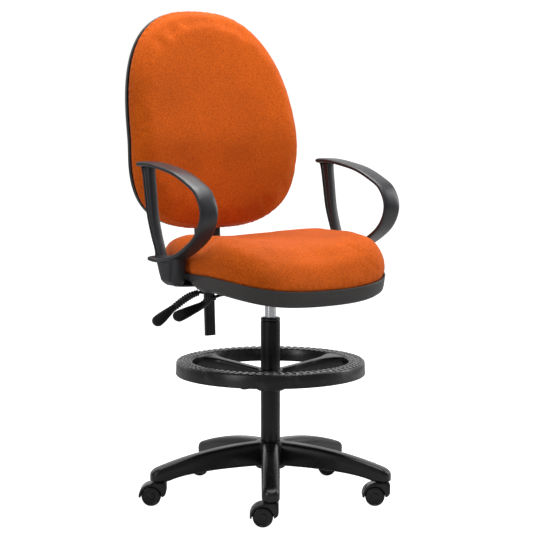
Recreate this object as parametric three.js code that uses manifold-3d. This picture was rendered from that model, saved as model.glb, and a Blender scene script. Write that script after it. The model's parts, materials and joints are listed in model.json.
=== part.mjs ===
// Drafting chair: five-leg base on twin-wheel casters, a tall column with a sliding footring, a gas
// lift, a two-lever seat mechanism, loop arms and a height and angle adjustable back.
// Millimetres, +Z up, the sitter faces -Y. The column stands on the Z axis while the chair is built,
// and the whole group is then moved so that the footprint is centred on the origin.
import * as THREE from "three";
import { mergeVertices } from "three/addons/utils/BufferGeometryUtils.js";
import Module from "manifold-3d";

const wasm = await Module();
wasm.setup();

// ---------------------------------------------------------------- driving dimensions
const GAP = 0.3; // air left between two pieces that touch
const SOFT_GAP = 1; // air left between a curved board and its cushion
const RUN = 0.3; // radial running clearance of a shaft in its hole

// sides of a turned piece: large as the column, middling as a wheel, small as a pin
const LARGE = 28;
const MIDDLE = 18;
const SMALL = 10;
const SOFT_SIDES = 40; // sides of the seat's and the back's outlines

// base and casters
const WHEEL_R = 25;
const HOOD_TOP = 2 * WHEEL_R + 9;
const LEGS = 5;
const FIRST_LEG_ANGLE = Math.PI / 2; // one leg points straight back
const STEM_CIRCLE_R = 296;
const LEG_END_R = STEM_CIRCLE_R + 22;
const LEG_HUB_WIDTH = 50;
const LEG_END_WIDTH = 43;
const LEG_HUB_TOP = 146;
const LEG_HUB_UNDERSIDE = 84;
const LEG_END_UNDERSIDE = HOOD_TOP + 1.5;
const LEG_END_TOP = LEG_END_UNDERSIDE + 27.5;
const LEG_BEVEL = 6;
const TUBE_R = 25;
const HUB_R = TUBE_R + 14;
const WHEEL_WIDTH = 18;
const WHEEL_INNER_FACE = 3.6; // distance of a wheel's inner face from the caster's middle
const WHEEL_BORE_DEPTH = 14;
const AXLE_R = 4;
const CASTER_TRAIL = 19;
const CASTER_TRAIL_ANGLE = (144 * Math.PI) / 180;
const HOOD_R = WHEEL_R + 6.5;
const HOOD_WIDTH = 44;
const HOOD_LOWER_EDGE = WHEEL_R - 2;
const HOOD_CORNER_R = 14;
const HOOD_BLOCK = 19; // half length of the block that holds the stem
const HOOD_WEB = 6;
const WHEEL_CLEARANCE = 1.6;
const STEM_R = 5.5;
const STEM_IN_BASE = 24;
const STEM_IN_HOOD = 10;

// column and gas lift
const TUBE_BORE_R = TUBE_R - 2;
const TUBE_TOP = 456;
const TUBE_FOOT = 76;
const TUBE_TAPER_TOP = LEG_HUB_TOP;
const TUBE_FOOT_R = TUBE_R - 1.6;
const TUBE_FLOOR = 4;
const COLLAR_HEIGHT = 10;
const BUSHING_LENGTH = 90;
const CYLINDER_R = 14;
const CYLINDER_BORE_R = CYLINDER_R - 2.5;
const CYLINDER_FOOT = 98;
const CYLINDER_TOP = 544;
const CYLINDER_WALL_END = 8;
const ROD_R = 5;
const ROD_FOOT = 66;
const ROD_TOP = 430;
const PISTON_LENGTH = 14;
const BEARING_R = 12;
const BEARING_HEIGHT = 9;
const CLIP_R = 9;
const CLIP_HEIGHT = 3;
const PIN_R = 4;
const PIN_RISE = 5;
const PIN_LENGTH = 30;

// footring
const RING_OUTER_R = 243;
const RING_TREAD = 42;
const RING_TOP = 356;
const RING_HEIGHT = 35;
const RING_WALL = 4;
const RING_DRAFT = 1.5;
const RING_SPOKES = 3;
const RING_FIRST_SPOKE = (-126 * Math.PI) / 180;
const RING_HUB_R = TUBE_R + 11;
const RING_HUB_TOP = 332;
const RING_HUB_FOOT = 278;
const SPOKE_WIDTH = 34;
const SPOKE_FLARE = 92;
const SPOKE_DEPTH = 33;
const KNOB_ANGLE = (172 * Math.PI) / 180;
const KNOB_Z = 305;
const KNOB_R = 22;
const KNOB_LENGTH = 28;
const KNOB_START = RING_HUB_R + 26;
const KNOB_LOBES = 6;
const SCREW_R = 4;

// seat
const SEAT_HALF_WIDTH = 254;
const SEAT_FRONT = 238; // distance of the seat's front edge ahead of the column
const SEAT_REAR = 246;
const SEAT_FRONT_POWER = 4;
const SEAT_REAR_POWER = 2.9;
const SEAT_RIM_Z = 592;
const SEAT_DIP = 38; // fall of the seat's middle at its front edge
const SEAT_DIP_START = 70;
const SHELL_FLOOR = 549;
const SHELL_WALL = 3;
const BOARD_Z = 568;
const SEAT_BOARD_THICKNESS = 12;
const SEAT_CROWN = 71; // cushion height above the rim before the contour
const SEAT_BOLSTER = 20;
const BOARD_SHARE = 0.78; // board outline as a share of the seat outline
const SEAT_RINGS = [0, 0.3, 0.5, 0.65, BOARD_SHARE]; // shares where a flat seat surface bends

// mechanism
const PLATE_THICKNESS = 4;
const PLATE_WIDTH = 190;
const PLATE_FRONT = 50;
const PLATE_MIDDLE = 110; // where the wide front plate gives way to the narrow spine
const PLATE_REAR = 188;
const CHEEK_X = 50;
const CHEEK_THICKNESS = 4;
const CHEEK_FOOT = 520;
const SOCKET_R = CYLINDER_R + 9;
const SOCKET_FOOT = 507;
const SOCKET_HEAD = 540;
const BACK_PIVOT_Y = 170;
const BACK_PIVOT_Z = 540;
const BACK_PIN_R = 6;
const BACK_PIN_HEAD = 4;

// levers
const LEVER_ROD_R = 4;
const LEVER_PIVOT_X = -30;
const LEVER_PIVOT_Z = 541;
const LEVER_PIN_R = 3;
const LEVER_HUB_R = 6.5;
const LEVER_HUB_WIDTH = 12;
const LEVER_BACK_Y = 95;
const FINGER_THICKNESS = 4;
const SLEEVE_R = 8.5;
const PADDLE_WIDTH = 30;
const PADDLE_THICKNESS = 9;
const PADDLE_TWIST = (-50 * Math.PI) / 180; // turns the broad face forwards and up

// arms
const ARM_WIDTH = 50;
const ARM_CLEARANCE = 4; // from the seat's rim to the arm's inner edge
const ARM_X = SEAT_HALF_WIDTH + ARM_CLEARANCE + ARM_WIDTH / 2;
const ARM_MIDDLE_Y = 25;
const ARM_THICKNESS = 12;
const POST_WIDTH = 22;
const POST_FLUTE = 4;
const POST_EDGE = 4.5; // breadth of the rims beside the flutes
const BOSS_WIDTH = 40;
const BRACKET_WIDTH = 50;
const BRACKET_THICKNESS = 5;
const BRACKET_INNER_X = PLATE_WIDTH / 2 + 23;
const BRACKET_FOOT = BOARD_Z - GAP - BRACKET_THICKNESS;
const BRACKET_HEAD = 606;
const BRACKET_LEG_X = -BOSS_WIDTH / 2 + 8; // from the arm's middle, on the seat's side

// back
const BACK_HALF_WIDTH = 261;
const BACK_WIDEST_Z = 895;
const BACK_UP = 366;
const BACK_DOWN = 218;
const BACK_UP_POWER = 2.58;
const BACK_DOWN_POWER = 2.8;
const BACK_Y = 267;
const BACK_LEAN_UP = 0.25;
const BACK_LEAN_DOWN = 0;
const BACK_LEAN_SOFTNESS = 50;
const BACK_WRAP = 0.0002;
const BACK_BOARD_DEPTH = 5; // board front face behind the rim plane
const BACK_BOARD_THICKNESS = 9;
const BACK_BOARD_SHARE = 0.91;
const BACK_RINGS = [0, 0.3, 0.6, BACK_BOARD_SHARE]; // shares where a flat back surface bends
const BACK_PAD = 50;
const BACK_SHELL_DEPTH = 56;
const BAR_WIDTH = 30;
const BAR_THICKNESS = 14;
const BAR_CORNER_R = 4;
const BAR_FOOT_Z = 387;
const BAR_FOOT_Y = 277;
const BAR_LEAN = (2.5 * Math.PI) / 180;
const BAR_LENGTH = 405;
const COVER_WIDTH = BAR_WIDTH + 46;
const COVER_THICKNESS = BAR_THICKNESS + 11;
const COVER_FOOT_Z = 592;
const COVER_TOP_Z = 689;
const SLEEVE_WALL = 5;
const SLEEVE_FOOT_Z = 500;
const SLEEVE_HEIGHT = 56;
const FORK_THICKNESS = 4;
const FORK_TOP_Z = 547;
const FORK_REAR_TOP_Z = 541; // lower behind, to clear the seat shell when the back tips forwards
const FORK_FOOT_Z = 526;

// ---------------------------------------------------------------- materials
function plain(color, roughness, metalness = 0) {
  return new THREE.MeshStandardMaterial({ color, roughness, metalness });
}
const NYLON = plain(0x141416, 0.5);
const SOFT_BLACK = plain(0x1b1b1d, 0.42);
const SHELL_GREY = plain(0x3a3b3e, 0.5);
const ARM_GREY = plain(0x2d2f33, 0.45);
const BLACK_STEEL = plain(0x0e0e10, 0.38, 0.3);
const CHROME = plain(0xc9ccd0, 0.12, 1);
const STEEL = plain(0x8d9096, 0.35, 1);
const PLYWOOD = plain(0xb98f5e, 0.7);
const FABRIC = plain(0xc9581a, 0.9);

// ---------------------------------------------------------------- solids
// A three.js geometry as a manifold-3d solid, and back.
function solidOf(geometry) {
  const bare = geometry.clone();
  for (const name of ["normal", "uv"]) bare.deleteAttribute(name);
  const merged = mergeVertices(bare, 1e-4);
  return new wasm.Manifold(
    new wasm.Mesh({
      numProp: 3,
      vertProperties: new Float32Array(merged.attributes.position.array),
      triVerts: new Uint32Array(merged.index.array),
    }),
  );
}

function geometryOf(solid) {
  const mesh = solid.getMesh();
  const geometry = new THREE.BufferGeometry();
  geometry.setAttribute("position", new THREE.BufferAttribute(mesh.vertProperties, 3));
  geometry.setIndex(new THREE.BufferAttribute(mesh.triVerts, 1));
  geometry.computeVertexNormals();
  return geometry;
}

function box(low, high) {
  const size = high.map((value, axis) => value - low[axis]);
  const middle = high.map((value, axis) => (value + low[axis]) / 2);
  return new THREE.BoxGeometry(...size).translate(...middle);
}

// A profile of [radius, z] points turned about the Z axis.
function lathe(profile, segments = LARGE) {
  const points = profile.map(([radius, z]) => new THREE.Vector2(radius, z));
  return new THREE.LatheGeometry(points, segments).rotateX(Math.PI / 2);
}

// A lathe profile that closes on itself starts and ends at the same point, listed from the foot of
// the outside wall upwards.
function ring(innerR, outerR, foot, head, segments = MIDDLE) {
  return lathe(
    [[innerR, foot], [outerR, foot], [outerR, head], [innerR, head], [innerR, foot]],
    segments,
  );
}

function rod(radius, foot, head, segments = SMALL) {
  return lathe([[0, foot], [radius, foot], [radius, head], [0, head]], segments);
}

// The same cylinder lying along X or Y.
const alongX = (geometry) => geometry.rotateY(Math.PI / 2);
const alongY = (geometry) => geometry.rotateX(-Math.PI / 2);

function shapeFrom(points) {
  return new THREE.Shape(points.map(([x, y]) => new THREE.Vector2(x, y)));
}

function roundedRectangle(width, height, radius) {
  const shape = new THREE.Shape();
  const x = width / 2;
  const y = height / 2;
  shape.moveTo(-x + radius, -y);
  shape.lineTo(x - radius, -y);
  shape.absarc(x - radius, -y + radius, radius, -Math.PI / 2, 0);
  shape.absarc(x - radius, y - radius, radius, 0, Math.PI / 2);
  shape.absarc(-x + radius, y - radius, radius, Math.PI / 2, Math.PI);
  shape.absarc(-x + radius, -y + radius, radius, Math.PI, Math.PI * 1.5);
  return shape;
}

// An outline in the X-Y plane raised from one height to another.
function raised(shape, foot, head, curveSegments = 6) {
  return new THREE.ExtrudeGeometry(shape, {
    depth: head - foot,
    bevelEnabled: false,
    curveSegments,
  }).translate(0, 0, foot);
}

// An outline whose first coordinate runs along Y and second along Z, given a width along X.
function sideways(shape, width, bevel = 0, curveSegments = 6, bevelSegments = 1) {
  const geometry = new THREE.ExtrudeGeometry(shape, {
    depth: width - 2 * bevel,
    bevelEnabled: bevel > 0,
    bevelSize: bevel,
    bevelOffset: -bevel,
    bevelThickness: bevel,
    bevelSegments,
    curveSegments,
  });
  geometry.translate(0, 0, -width / 2 + bevel);
  // outline X to world Y, outline Y to world Z, depth to world X
  return geometry.applyMatrix4(
    new THREE.Matrix4().makeBasis(
      new THREE.Vector3(0, 1, 0),
      new THREE.Vector3(0, 0, 1),
      new THREE.Vector3(1, 0, 0),
    ),
  );
}

// Moves each vertex of a geometry to the place that a function gives.
function mapped(geometry, place) {
  const position = geometry.attributes.position;
  for (let i = 0; i < position.count; i += 1) {
    const [x, y, z] = place(position.getX(i), position.getY(i), position.getZ(i));
    position.setXYZ(i, x, y, z);
  }
  geometry.computeVertexNormals();
  return geometry;
}

const clamp01 = (value) => Math.min(1, Math.max(0, value));

// ---------------------------------------------------------------- the scene graph
const chair = new THREE.Group();

function add(name, geometry, material, parent = chair) {
  const mesh = new THREE.Mesh(geometry, material);
  mesh.name = name;
  parent.add(mesh);
  return mesh;
}

// ---------------------------------------------------------------- base
function legAngle(index) {
  return FIRST_LEG_ANGLE + (index * 2 * Math.PI) / LEGS;
}

// The side of one leg: an arched back from the hub down to a short upright end.
function legSide() {
  const shape = new THREE.Shape();
  const socketStart = STEM_CIRCLE_R - 20;
  shape.moveTo(0, LEG_HUB_UNDERSIDE);
  shape.quadraticCurveTo(STEM_CIRCLE_R * 0.72, LEG_HUB_UNDERSIDE + 2, socketStart, LEG_END_UNDERSIDE);
  shape.lineTo(LEG_END_R, LEG_END_UNDERSIDE);
  shape.lineTo(LEG_END_R, LEG_END_TOP);
  shape.quadraticCurveTo(LEG_END_R * 0.55, LEG_HUB_TOP - 3, 0, LEG_HUB_TOP);
  return shape;
}

function leg(angle) {
  const side = sideways(legSide(), LEG_HUB_WIDTH, LEG_BEVEL, 6, 2);
  const narrowing = (LEG_HUB_WIDTH - LEG_END_WIDTH) / LEG_HUB_WIDTH;
  mapped(side, (x, y, z) => [x * (1 - narrowing * clamp01(y / LEG_END_R)), y, z]);
  return solidOf(side.rotateZ(angle - Math.PI / 2));
}

function starBase() {
  const hub = lathe(
    [
      [0, LEG_HUB_UNDERSIDE - 8],
      [HUB_R, LEG_HUB_UNDERSIDE - 8],
      [HUB_R + 4, LEG_HUB_TOP - 12],
      [HUB_R - 1, LEG_HUB_TOP - 2],
      [HUB_R - 6, LEG_HUB_TOP],
      [0, LEG_HUB_TOP],
    ],
    LARGE,
  );
  let solid = solidOf(hub);
  for (let i = 0; i < LEGS; i += 1) {
    solid = solid.add(leg(legAngle(i)));
  }
  solid = solid.subtract(solidOf(columnSeat()));
  for (let i = 0; i < LEGS; i += 1) {
    const hole = rod(STEM_R + RUN, LEG_END_UNDERSIDE - 1, LEG_END_UNDERSIDE + STEM_IN_BASE + 1);
    hole.translate(...stemPlace(i), 0);
    solid = solid.subtract(solidOf(hole));
  }
  return geometryOf(solid);
}

function stemPlace(index) {
  return [STEM_CIRCLE_R * Math.cos(legAngle(index)), STEM_CIRCLE_R * Math.sin(legAngle(index))];
}

// The tapered hole that the column wedges into.
function columnSeat() {
  const below = 20;
  const slope = (TUBE_R - TUBE_FOOT_R) / (TUBE_TAPER_TOP - TUBE_FOOT);
  return lathe(
    [
      [0, TUBE_FOOT - below],
      [TUBE_FOOT_R - slope * below + GAP, TUBE_FOOT - below],
      [TUBE_R + GAP, TUBE_TAPER_TOP + 1],
      [0, TUBE_TAPER_TOP + 1],
    ],
    LARGE,
  );
}

// ---------------------------------------------------------------- casters
function hoodSide() {
  const shape = new THREE.Shape();
  const lip = Math.asin((HOOD_LOWER_EDGE - WHEEL_R) / HOOD_R);
  const blockBack = -CASTER_TRAIL - HOOD_BLOCK;
  shape.moveTo(HOOD_R * Math.cos(lip), HOOD_LOWER_EDGE);
  shape.absarc(0, WHEEL_R, HOOD_R, lip, Math.PI * 0.42);
  shape.lineTo(-6, HOOD_TOP);
  shape.lineTo(blockBack + 3, HOOD_TOP);
  shape.lineTo(blockBack, HOOD_TOP - 3);
  shape.lineTo(blockBack, HOOD_LOWER_EDGE + HOOD_CORNER_R);
  shape.absarc(
    blockBack + HOOD_CORNER_R,
    HOOD_LOWER_EDGE + HOOD_CORNER_R,
    HOOD_CORNER_R,
    Math.PI,
    Math.PI * 1.5,
  );
  return shape;
}

// One hood, drawn with the wheel axle on the X axis and the trailing side towards +Y.
function casterHood() {
  const webHalf = HOOD_WEB / 2;
  let solid = solidOf(sideways(hoodSide(), HOOD_WIDTH, 0, 5));
  const axleBoss = alongX(rod(10, -webHalf, webHalf)).translate(0, 0, WHEEL_R);
  solid = solid.add(solidOf(axleBoss));
  for (const side of [-1, 1]) {
    const inner = side * webHalf;
    const outer = side * HOOD_WIDTH;
    const space = [Math.min(inner, outer), Math.max(inner, outer)];
    const wheelSpace = rod(WHEEL_R + WHEEL_CLEARANCE, ...space, MIDDLE);
    solid = solid.subtract(solidOf(alongX(wheelSpace).translate(0, 0, WHEEL_R)));
  }
  const axleHole = alongX(rod(AXLE_R + RUN, -HOOD_WIDTH, HOOD_WIDTH)).translate(0, 0, WHEEL_R);
  solid = solid.subtract(solidOf(axleHole));
  const stemHole = rod(STEM_R + RUN, HOOD_TOP - STEM_IN_HOOD - 1, HOOD_TOP + 1);
  solid = solid.subtract(solidOf(stemHole.translate(0, -CASTER_TRAIL, 0)));
  return geometryOf(solid);
}

// Half of a twin wheel: a solid tread with a shallow dish and a blind hole for the axle.
function wheelGeometry() {
  const bore = AXLE_R + RUN;
  return lathe(
    [
      [0, WHEEL_BORE_DEPTH],
      [bore, WHEEL_BORE_DEPTH],
      [bore, 0],
      [WHEEL_R, 0],
      [WHEEL_R, WHEEL_WIDTH - 3],
      [WHEEL_R - 3, WHEEL_WIDTH],
      [0, WHEEL_WIDTH],
    ],
    MIDDLE,
  );
}

function addCaster(index) {
  const caster = new THREE.Group();
  const [x, y] = stemPlace(index);
  caster.position.set(
    x + CASTER_TRAIL * Math.cos(CASTER_TRAIL_ANGLE),
    y + CASTER_TRAIL * Math.sin(CASTER_TRAIL_ANGLE),
    0,
  );
  caster.rotation.z = CASTER_TRAIL_ANGLE - Math.PI / 2;
  chair.add(caster);
  const tag = "caster_" + (index + 1);
  add(tag + "_hood", casterHood(), NYLON, caster);

  const axleEnd = WHEEL_INNER_FACE + WHEEL_BORE_DEPTH - GAP;
  const axle = add(tag + "_axle", alongX(rod(AXLE_R, -axleEnd, axleEnd)), STEEL, caster);
  axle.position.z = WHEEL_R;

  const collar = HOOD_TOP + GAP;
  const stem = add(
    tag + "_stem",
    lathe(
      [
        [0, HOOD_TOP - STEM_IN_HOOD],
        [STEM_R, HOOD_TOP - STEM_IN_HOOD],
        [STEM_R, collar],
        [STEM_R + 3, collar],
        [STEM_R + 3, LEG_END_UNDERSIDE - GAP],
        [STEM_R, LEG_END_UNDERSIDE - GAP],
        [STEM_R, LEG_END_UNDERSIDE + STEM_IN_BASE],
        [0, LEG_END_UNDERSIDE + STEM_IN_BASE],
      ],
      SMALL,
    ),
    STEEL,
    caster,
  );
  stem.position.y = -CASTER_TRAIL;

  const left = add(tag + "_wheel_left", alongX(wheelGeometry()), NYLON, caster);
  left.position.set(WHEEL_INNER_FACE, 0, WHEEL_R);
  const right = add(tag + "_wheel_right", alongX(wheelGeometry()), NYLON, caster);
  right.rotation.z = Math.PI;
  right.position.set(-WHEEL_INNER_FACE, 0, WHEEL_R);
}

// ---------------------------------------------------------------- column and gas lift
function columnTube() {
  const boltHole = ROD_R + RUN;
  return lathe(
    [
      [boltHole, TUBE_FOOT],
      [TUBE_FOOT_R, TUBE_FOOT],
      [TUBE_R, TUBE_TAPER_TOP],
      [TUBE_R, TUBE_TOP],
      [TUBE_BORE_R, TUBE_TOP],
      [TUBE_BORE_R, TUBE_TAPER_TOP],
      [TUBE_FOOT_R - 3, TUBE_FOOT + TUBE_FLOOR],
      [boltHole, TUBE_FOOT + TUBE_FLOOR],
      [boltHole, TUBE_FOOT],
    ],
    LARGE,
  );
}

// The plastic bush that the gas cylinder slides in, with a collar that caps the tube.
function guideBushing() {
  const bore = CYLINDER_R + RUN;
  const collarFoot = TUBE_TOP + GAP;
  const collarHead = TUBE_TOP + COLLAR_HEIGHT;
  const sleeve = TUBE_BORE_R - GAP;
  return lathe(
    [
      [bore, TUBE_TOP - BUSHING_LENGTH],
      [sleeve, TUBE_TOP - BUSHING_LENGTH],
      [sleeve, collarFoot],
      [TUBE_R, collarFoot],
      [TUBE_R, collarHead - 3],
      [TUBE_R - 1, collarHead - 1],
      [TUBE_R - 3, collarHead],
      [bore, collarHead],
      [bore, TUBE_TOP - BUSHING_LENGTH],
    ],
    LARGE,
  );
}

function thrustBearing() {
  const foot = TUBE_FOOT + TUBE_FLOOR + GAP;
  return ring(ROD_R + RUN, BEARING_R, foot, foot + BEARING_HEIGHT);
}

// The rod stays at one height: it turns in the foot of the tube and carries a shoulder that rests on
// the thrust bearing.
function pistonRod() {
  const shoulder = TUBE_FOOT + TUBE_FLOOR + 2 * GAP + BEARING_HEIGHT;
  return lathe(
    [
      [0, ROD_FOOT],
      [ROD_R, ROD_FOOT],
      [ROD_R, shoulder],
      [ROD_R + 2, shoulder],
      [ROD_R + 2, shoulder + 4],
      [ROD_R, shoulder + 4],
      [ROD_R, ROD_TOP],
      [0, ROD_TOP],
    ],
    SMALL,
  );
}

function rodClip() {
  return ring(ROD_R + GAP, CLIP_R, TUBE_FOOT - GAP - CLIP_HEIGHT, TUBE_FOOT - GAP, SMALL);
}

function gasPiston() {
  const foot = ROD_TOP - 2 * PISTON_LENGTH;
  return ring(ROD_R + GAP, CYLINDER_BORE_R - RUN, foot, foot + PISTON_LENGTH);
}

function gasCylinder() {
  const rodHole = ROD_R + RUN;
  const pinHole = PIN_R + RUN;
  const wallTop = CYLINDER_TOP - PIN_LENGTH;
  return lathe(
    [
      [rodHole, CYLINDER_FOOT],
      [CYLINDER_R - 1, CYLINDER_FOOT],
      [CYLINDER_R, CYLINDER_FOOT + 1],
      [CYLINDER_R, CYLINDER_TOP - 1],
      [CYLINDER_R - 1, CYLINDER_TOP],
      [pinHole, CYLINDER_TOP],
      [pinHole, wallTop],
      [CYLINDER_BORE_R, wallTop - 6],
      [CYLINDER_BORE_R, CYLINDER_FOOT + CYLINDER_WALL_END],
      [rodHole, CYLINDER_FOOT + CYLINDER_WALL_END],
      [rodHole, CYLINDER_FOOT],
    ],
    MIDDLE,
  );
}

function releasePin() {
  const head = CYLINDER_TOP + PIN_RISE;
  return lathe(
    [[0, head - PIN_LENGTH], [PIN_R, head - PIN_LENGTH], [PIN_R, head], [0, head]],
    SMALL,
  );
}

// ---------------------------------------------------------------- footring
function spokeAngle(index) {
  return RING_FIRST_SPOKE + (index * 2 * Math.PI) / RING_SPOKES;
}

// A spoke runs out along +X, widens into the ring and climbs from the hub to the tread.
function spoke() {
  const innerR = RING_OUTER_R - RING_TREAD;
  const end = innerR + 8;
  const half = SPOKE_WIDTH / 2;
  const flare = SPOKE_FLARE / 2;
  const plan = new THREE.Shape();
  plan.moveTo(RING_HUB_R - 8, -half);
  plan.lineTo(innerR - 62, -half + 2);
  plan.quadraticCurveTo(innerR - 14, -half + 2, innerR - 4, -flare);
  plan.lineTo(end, -flare);
  plan.lineTo(end, flare);
  plan.lineTo(innerR - 4, flare);
  plan.quadraticCurveTo(innerR - 14, half - 2, innerR - 62, half - 2);
  plan.lineTo(RING_HUB_R - 8, half);
  const solid = solidOf(raised(plan, RING_HUB_FOOT, RING_TOP, 5));
  const low = RING_HUB_TOP - 1;
  const high = RING_TOP - 1.5;
  const side = shapeFrom([
    [RING_HUB_R - 10, low - SPOKE_DEPTH - 8],
    [innerR - 20, high - SPOKE_DEPTH],
    [end + 1, high - SPOKE_DEPTH],
    [end + 1, high],
    [innerR - 16, high - 1],
    [RING_HUB_R - 10, low],
  ]);
  const band = sideways(side, SPOKE_FLARE + 10).rotateZ(-Math.PI / 2);
  return solid.intersect(solidOf(band));
}

// A ring of inverted channel section, its walls leaning out a little towards the foot.
function footring() {
  const outer = RING_OUTER_R;
  const inner = RING_OUTER_R - RING_TREAD;
  const foot = RING_TOP - RING_HEIGHT;
  const tread = RING_TOP - RING_WALL;
  let solid = solidOf(
    lathe(
      [
        [inner - RING_DRAFT, foot],
        [inner - RING_DRAFT + RING_WALL, foot],
        [inner + RING_WALL, tread],
        [outer - RING_WALL - RING_DRAFT, tread],
        [outer - RING_WALL, foot],
        [outer, foot],
        [outer - RING_DRAFT, RING_TOP - 2],
        [outer - RING_DRAFT - 2, RING_TOP],
        [inner + 2, RING_TOP],
        [inner, RING_TOP - 2],
        [inner - RING_DRAFT, foot],
      ],
      48,
    ),
  );
  const hub = lathe(
    [
      [0, RING_HUB_FOOT],
      [RING_HUB_R, RING_HUB_FOOT],
      [RING_HUB_R - 2, RING_HUB_FOOT + 14],
      [RING_HUB_R - 4, RING_HUB_TOP - 3],
      [RING_HUB_R - 7, RING_HUB_TOP],
      [0, RING_HUB_TOP],
    ],
    LARGE,
  );
  solid = solid.add(solidOf(hub));
  for (let i = 0; i < RING_SPOKES; i += 1) {
    solid = solid.add(spoke().rotate([0, 0, THREE.MathUtils.radToDeg(spokeAngle(i))]));
  }
  const boss = alongX(rod(13, RING_HUB_R - 8, KNOB_START - 2, MIDDLE)).translate(0, 0, KNOB_Z);
  solid = solid.add(solidOf(boss.rotateZ(KNOB_ANGLE)));
  const screwHole = alongX(rod(SCREW_R + RUN, 0, KNOB_START)).translate(0, 0, KNOB_Z);
  solid = solid.subtract(solidOf(screwHole.rotateZ(KNOB_ANGLE)));
  const bore = rod(TUBE_R + RUN, RING_HUB_FOOT - 1, RING_HUB_TOP + 1, LARGE);
  return geometryOf(solid.subtract(solidOf(bore)));
}

// A lobed hand knob and the screw that it is moulded round, drawn along +X.
function clampKnob() {
  const outline = new THREE.Shape();
  const steps = KNOB_LOBES * 6;
  for (let i = 0; i < steps; i += 1) {
    const angle = (i * 2 * Math.PI) / steps;
    const radius = KNOB_R - 2 + 2 * Math.cos(KNOB_LOBES * angle);
    const point = [radius * Math.cos(angle), radius * Math.sin(angle)];
    if (i === 0) outline.moveTo(...point);
    else outline.lineTo(...point);
  }
  const grip = raised(outline, KNOB_START, KNOB_START + KNOB_LENGTH).rotateY(Math.PI / 2);
  const socket = alongX(rod(SCREW_R + GAP, KNOB_START - 1, KNOB_START + KNOB_LENGTH - 8));
  return geometryOf(solidOf(grip).subtract(solidOf(socket)));
}

function clampScrew() {
  return alongX(rod(SCREW_R, TUBE_R + GAP, KNOB_START + KNOB_LENGTH - 8 - GAP, 20));
}

// ---------------------------------------------------------------- seat
const SEAT_MIDDLE_Y = (SEAT_REAR - SEAT_FRONT) / 2;
const SEAT_HALF_DEPTH = (SEAT_REAR + SEAT_FRONT) / 2;

// How far a superellipse with these half axes reaches in a direction.
function reach(across, along, halfAcross, halfAlong, power) {
  return (Math.abs(across / halfAcross) ** power + Math.abs(along / halfAlong) ** power) ** (-1 / power);
}

function seatReach(angle) {
  const forward = -Math.sin(angle);
  const blend = clamp01(0.5 + forward / 0.8);
  const power = SEAT_REAR_POWER + (SEAT_FRONT_POWER - SEAT_REAR_POWER) * blend;
  return reach(Math.cos(angle), forward, SEAT_HALF_WIDTH, SEAT_HALF_DEPTH, power);
}

// The fall of the seat towards its front edge, deepest in the middle.
function seatDip(x, y) {
  const along = clamp01((-y - SEAT_DIP_START) / (SEAT_FRONT - SEAT_DIP_START));
  const across = 1 - 0.45 * (x / SEAT_HALF_WIDTH) ** 2;
  return -SEAT_DIP * along ** 1.7 * across;
}

// A solid whose profile of [share of the seat outline, z] follows the seat's outline and dip.
function seatForm(profile, segments, extra = () => 0) {
  const steps = profile.map(([share, z]) => [share * 100, z]);
  return mapped(lathe(steps, segments), (x, y, z) => {
    const share = Math.hypot(x, y) / 100;
    const angle = Math.atan2(y, x);
    const radius = share * seatReach(angle);
    const px = radius * Math.cos(angle);
    const py = SEAT_MIDDLE_Y + radius * Math.sin(angle);
    return [px, py, z + seatDip(px, py) + extra(px, py, z)];
  });
}

function seatShell() {
  const inner = SHELL_FLOOR + SHELL_WALL;
  const wall = SHELL_WALL / SEAT_HALF_WIDTH;
  const outside = [
    [0, SHELL_FLOOR],
    [0.45, SHELL_FLOOR],
    [0.88, SHELL_FLOOR],
    [0.95, SHELL_FLOOR + 5],
    [0.985, SHELL_FLOOR + 18],
    [1, SEAT_RIM_Z],
  ];
  const inside = [
    [1 - wall, SEAT_RIM_Z],
    [0.985 - wall, SHELL_FLOOR + 19],
    [0.945 - wall, SHELL_FLOOR + 8],
    [0.88 - wall, inner],
    [0.45, inner],
    [0, inner],
  ];
  const deeper = (x, y, z) => (z < SEAT_RIM_Z - 20 ? 0.16 * seatDip(x, y) : 0);
  let solid = solidOf(seatForm([...outside, ...inside], SOFT_SIDES, deeper));
  const margin = 3;
  const opening = box(
    [-PLATE_WIDTH / 2 - margin, -PLATE_FRONT - margin, SHELL_FLOOR - 12],
    [PLATE_WIDTH / 2 + margin, PLATE_REAR + margin, SEAT_RIM_Z],
  );
  solid = solid.subtract(solidOf(opening));
  const notchHalf = BRACKET_WIDTH / 2 + 1;
  for (const side of [-1, 1]) {
    const far = side * (SEAT_HALF_WIDTH + 10);
    const near = side * (SEAT_HALF_WIDTH * 0.7);
    const notch = box(
      [Math.min(near, far), ARM_MIDDLE_Y - notchHalf, BRACKET_FOOT - 1],
      [Math.max(near, far), ARM_MIDDLE_Y + notchHalf, BRACKET_FOOT + BRACKET_THICKNESS + 1],
    );
    solid = solid.subtract(solidOf(notch));
  }
  return geometryOf(solid);
}

function seatBoard() {
  const top = BOARD_Z + SEAT_BOARD_THICKNESS;
  const level = (z) => SEAT_RINGS.map((share) => [share, z]);
  return seatForm([...level(BOARD_Z), ...level(top).reverse()], SOFT_SIDES);
}

// Side bolsters and a low middle, added to the top of the cushion only.
function seatContour(x, y, z) {
  const height = clamp01((z - SEAT_RIM_Z) / SEAT_CROWN);
  const side = clamp01(Math.abs(x) / 215);
  const rear = clamp01((y - 60) / 190);
  const bolster = SEAT_BOLSTER * (1 - 0.45 * rear) * side ** 2.5;
  return height * (bolster - 4 * rear ** 2 - 6 * (1 - side));
}

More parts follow.
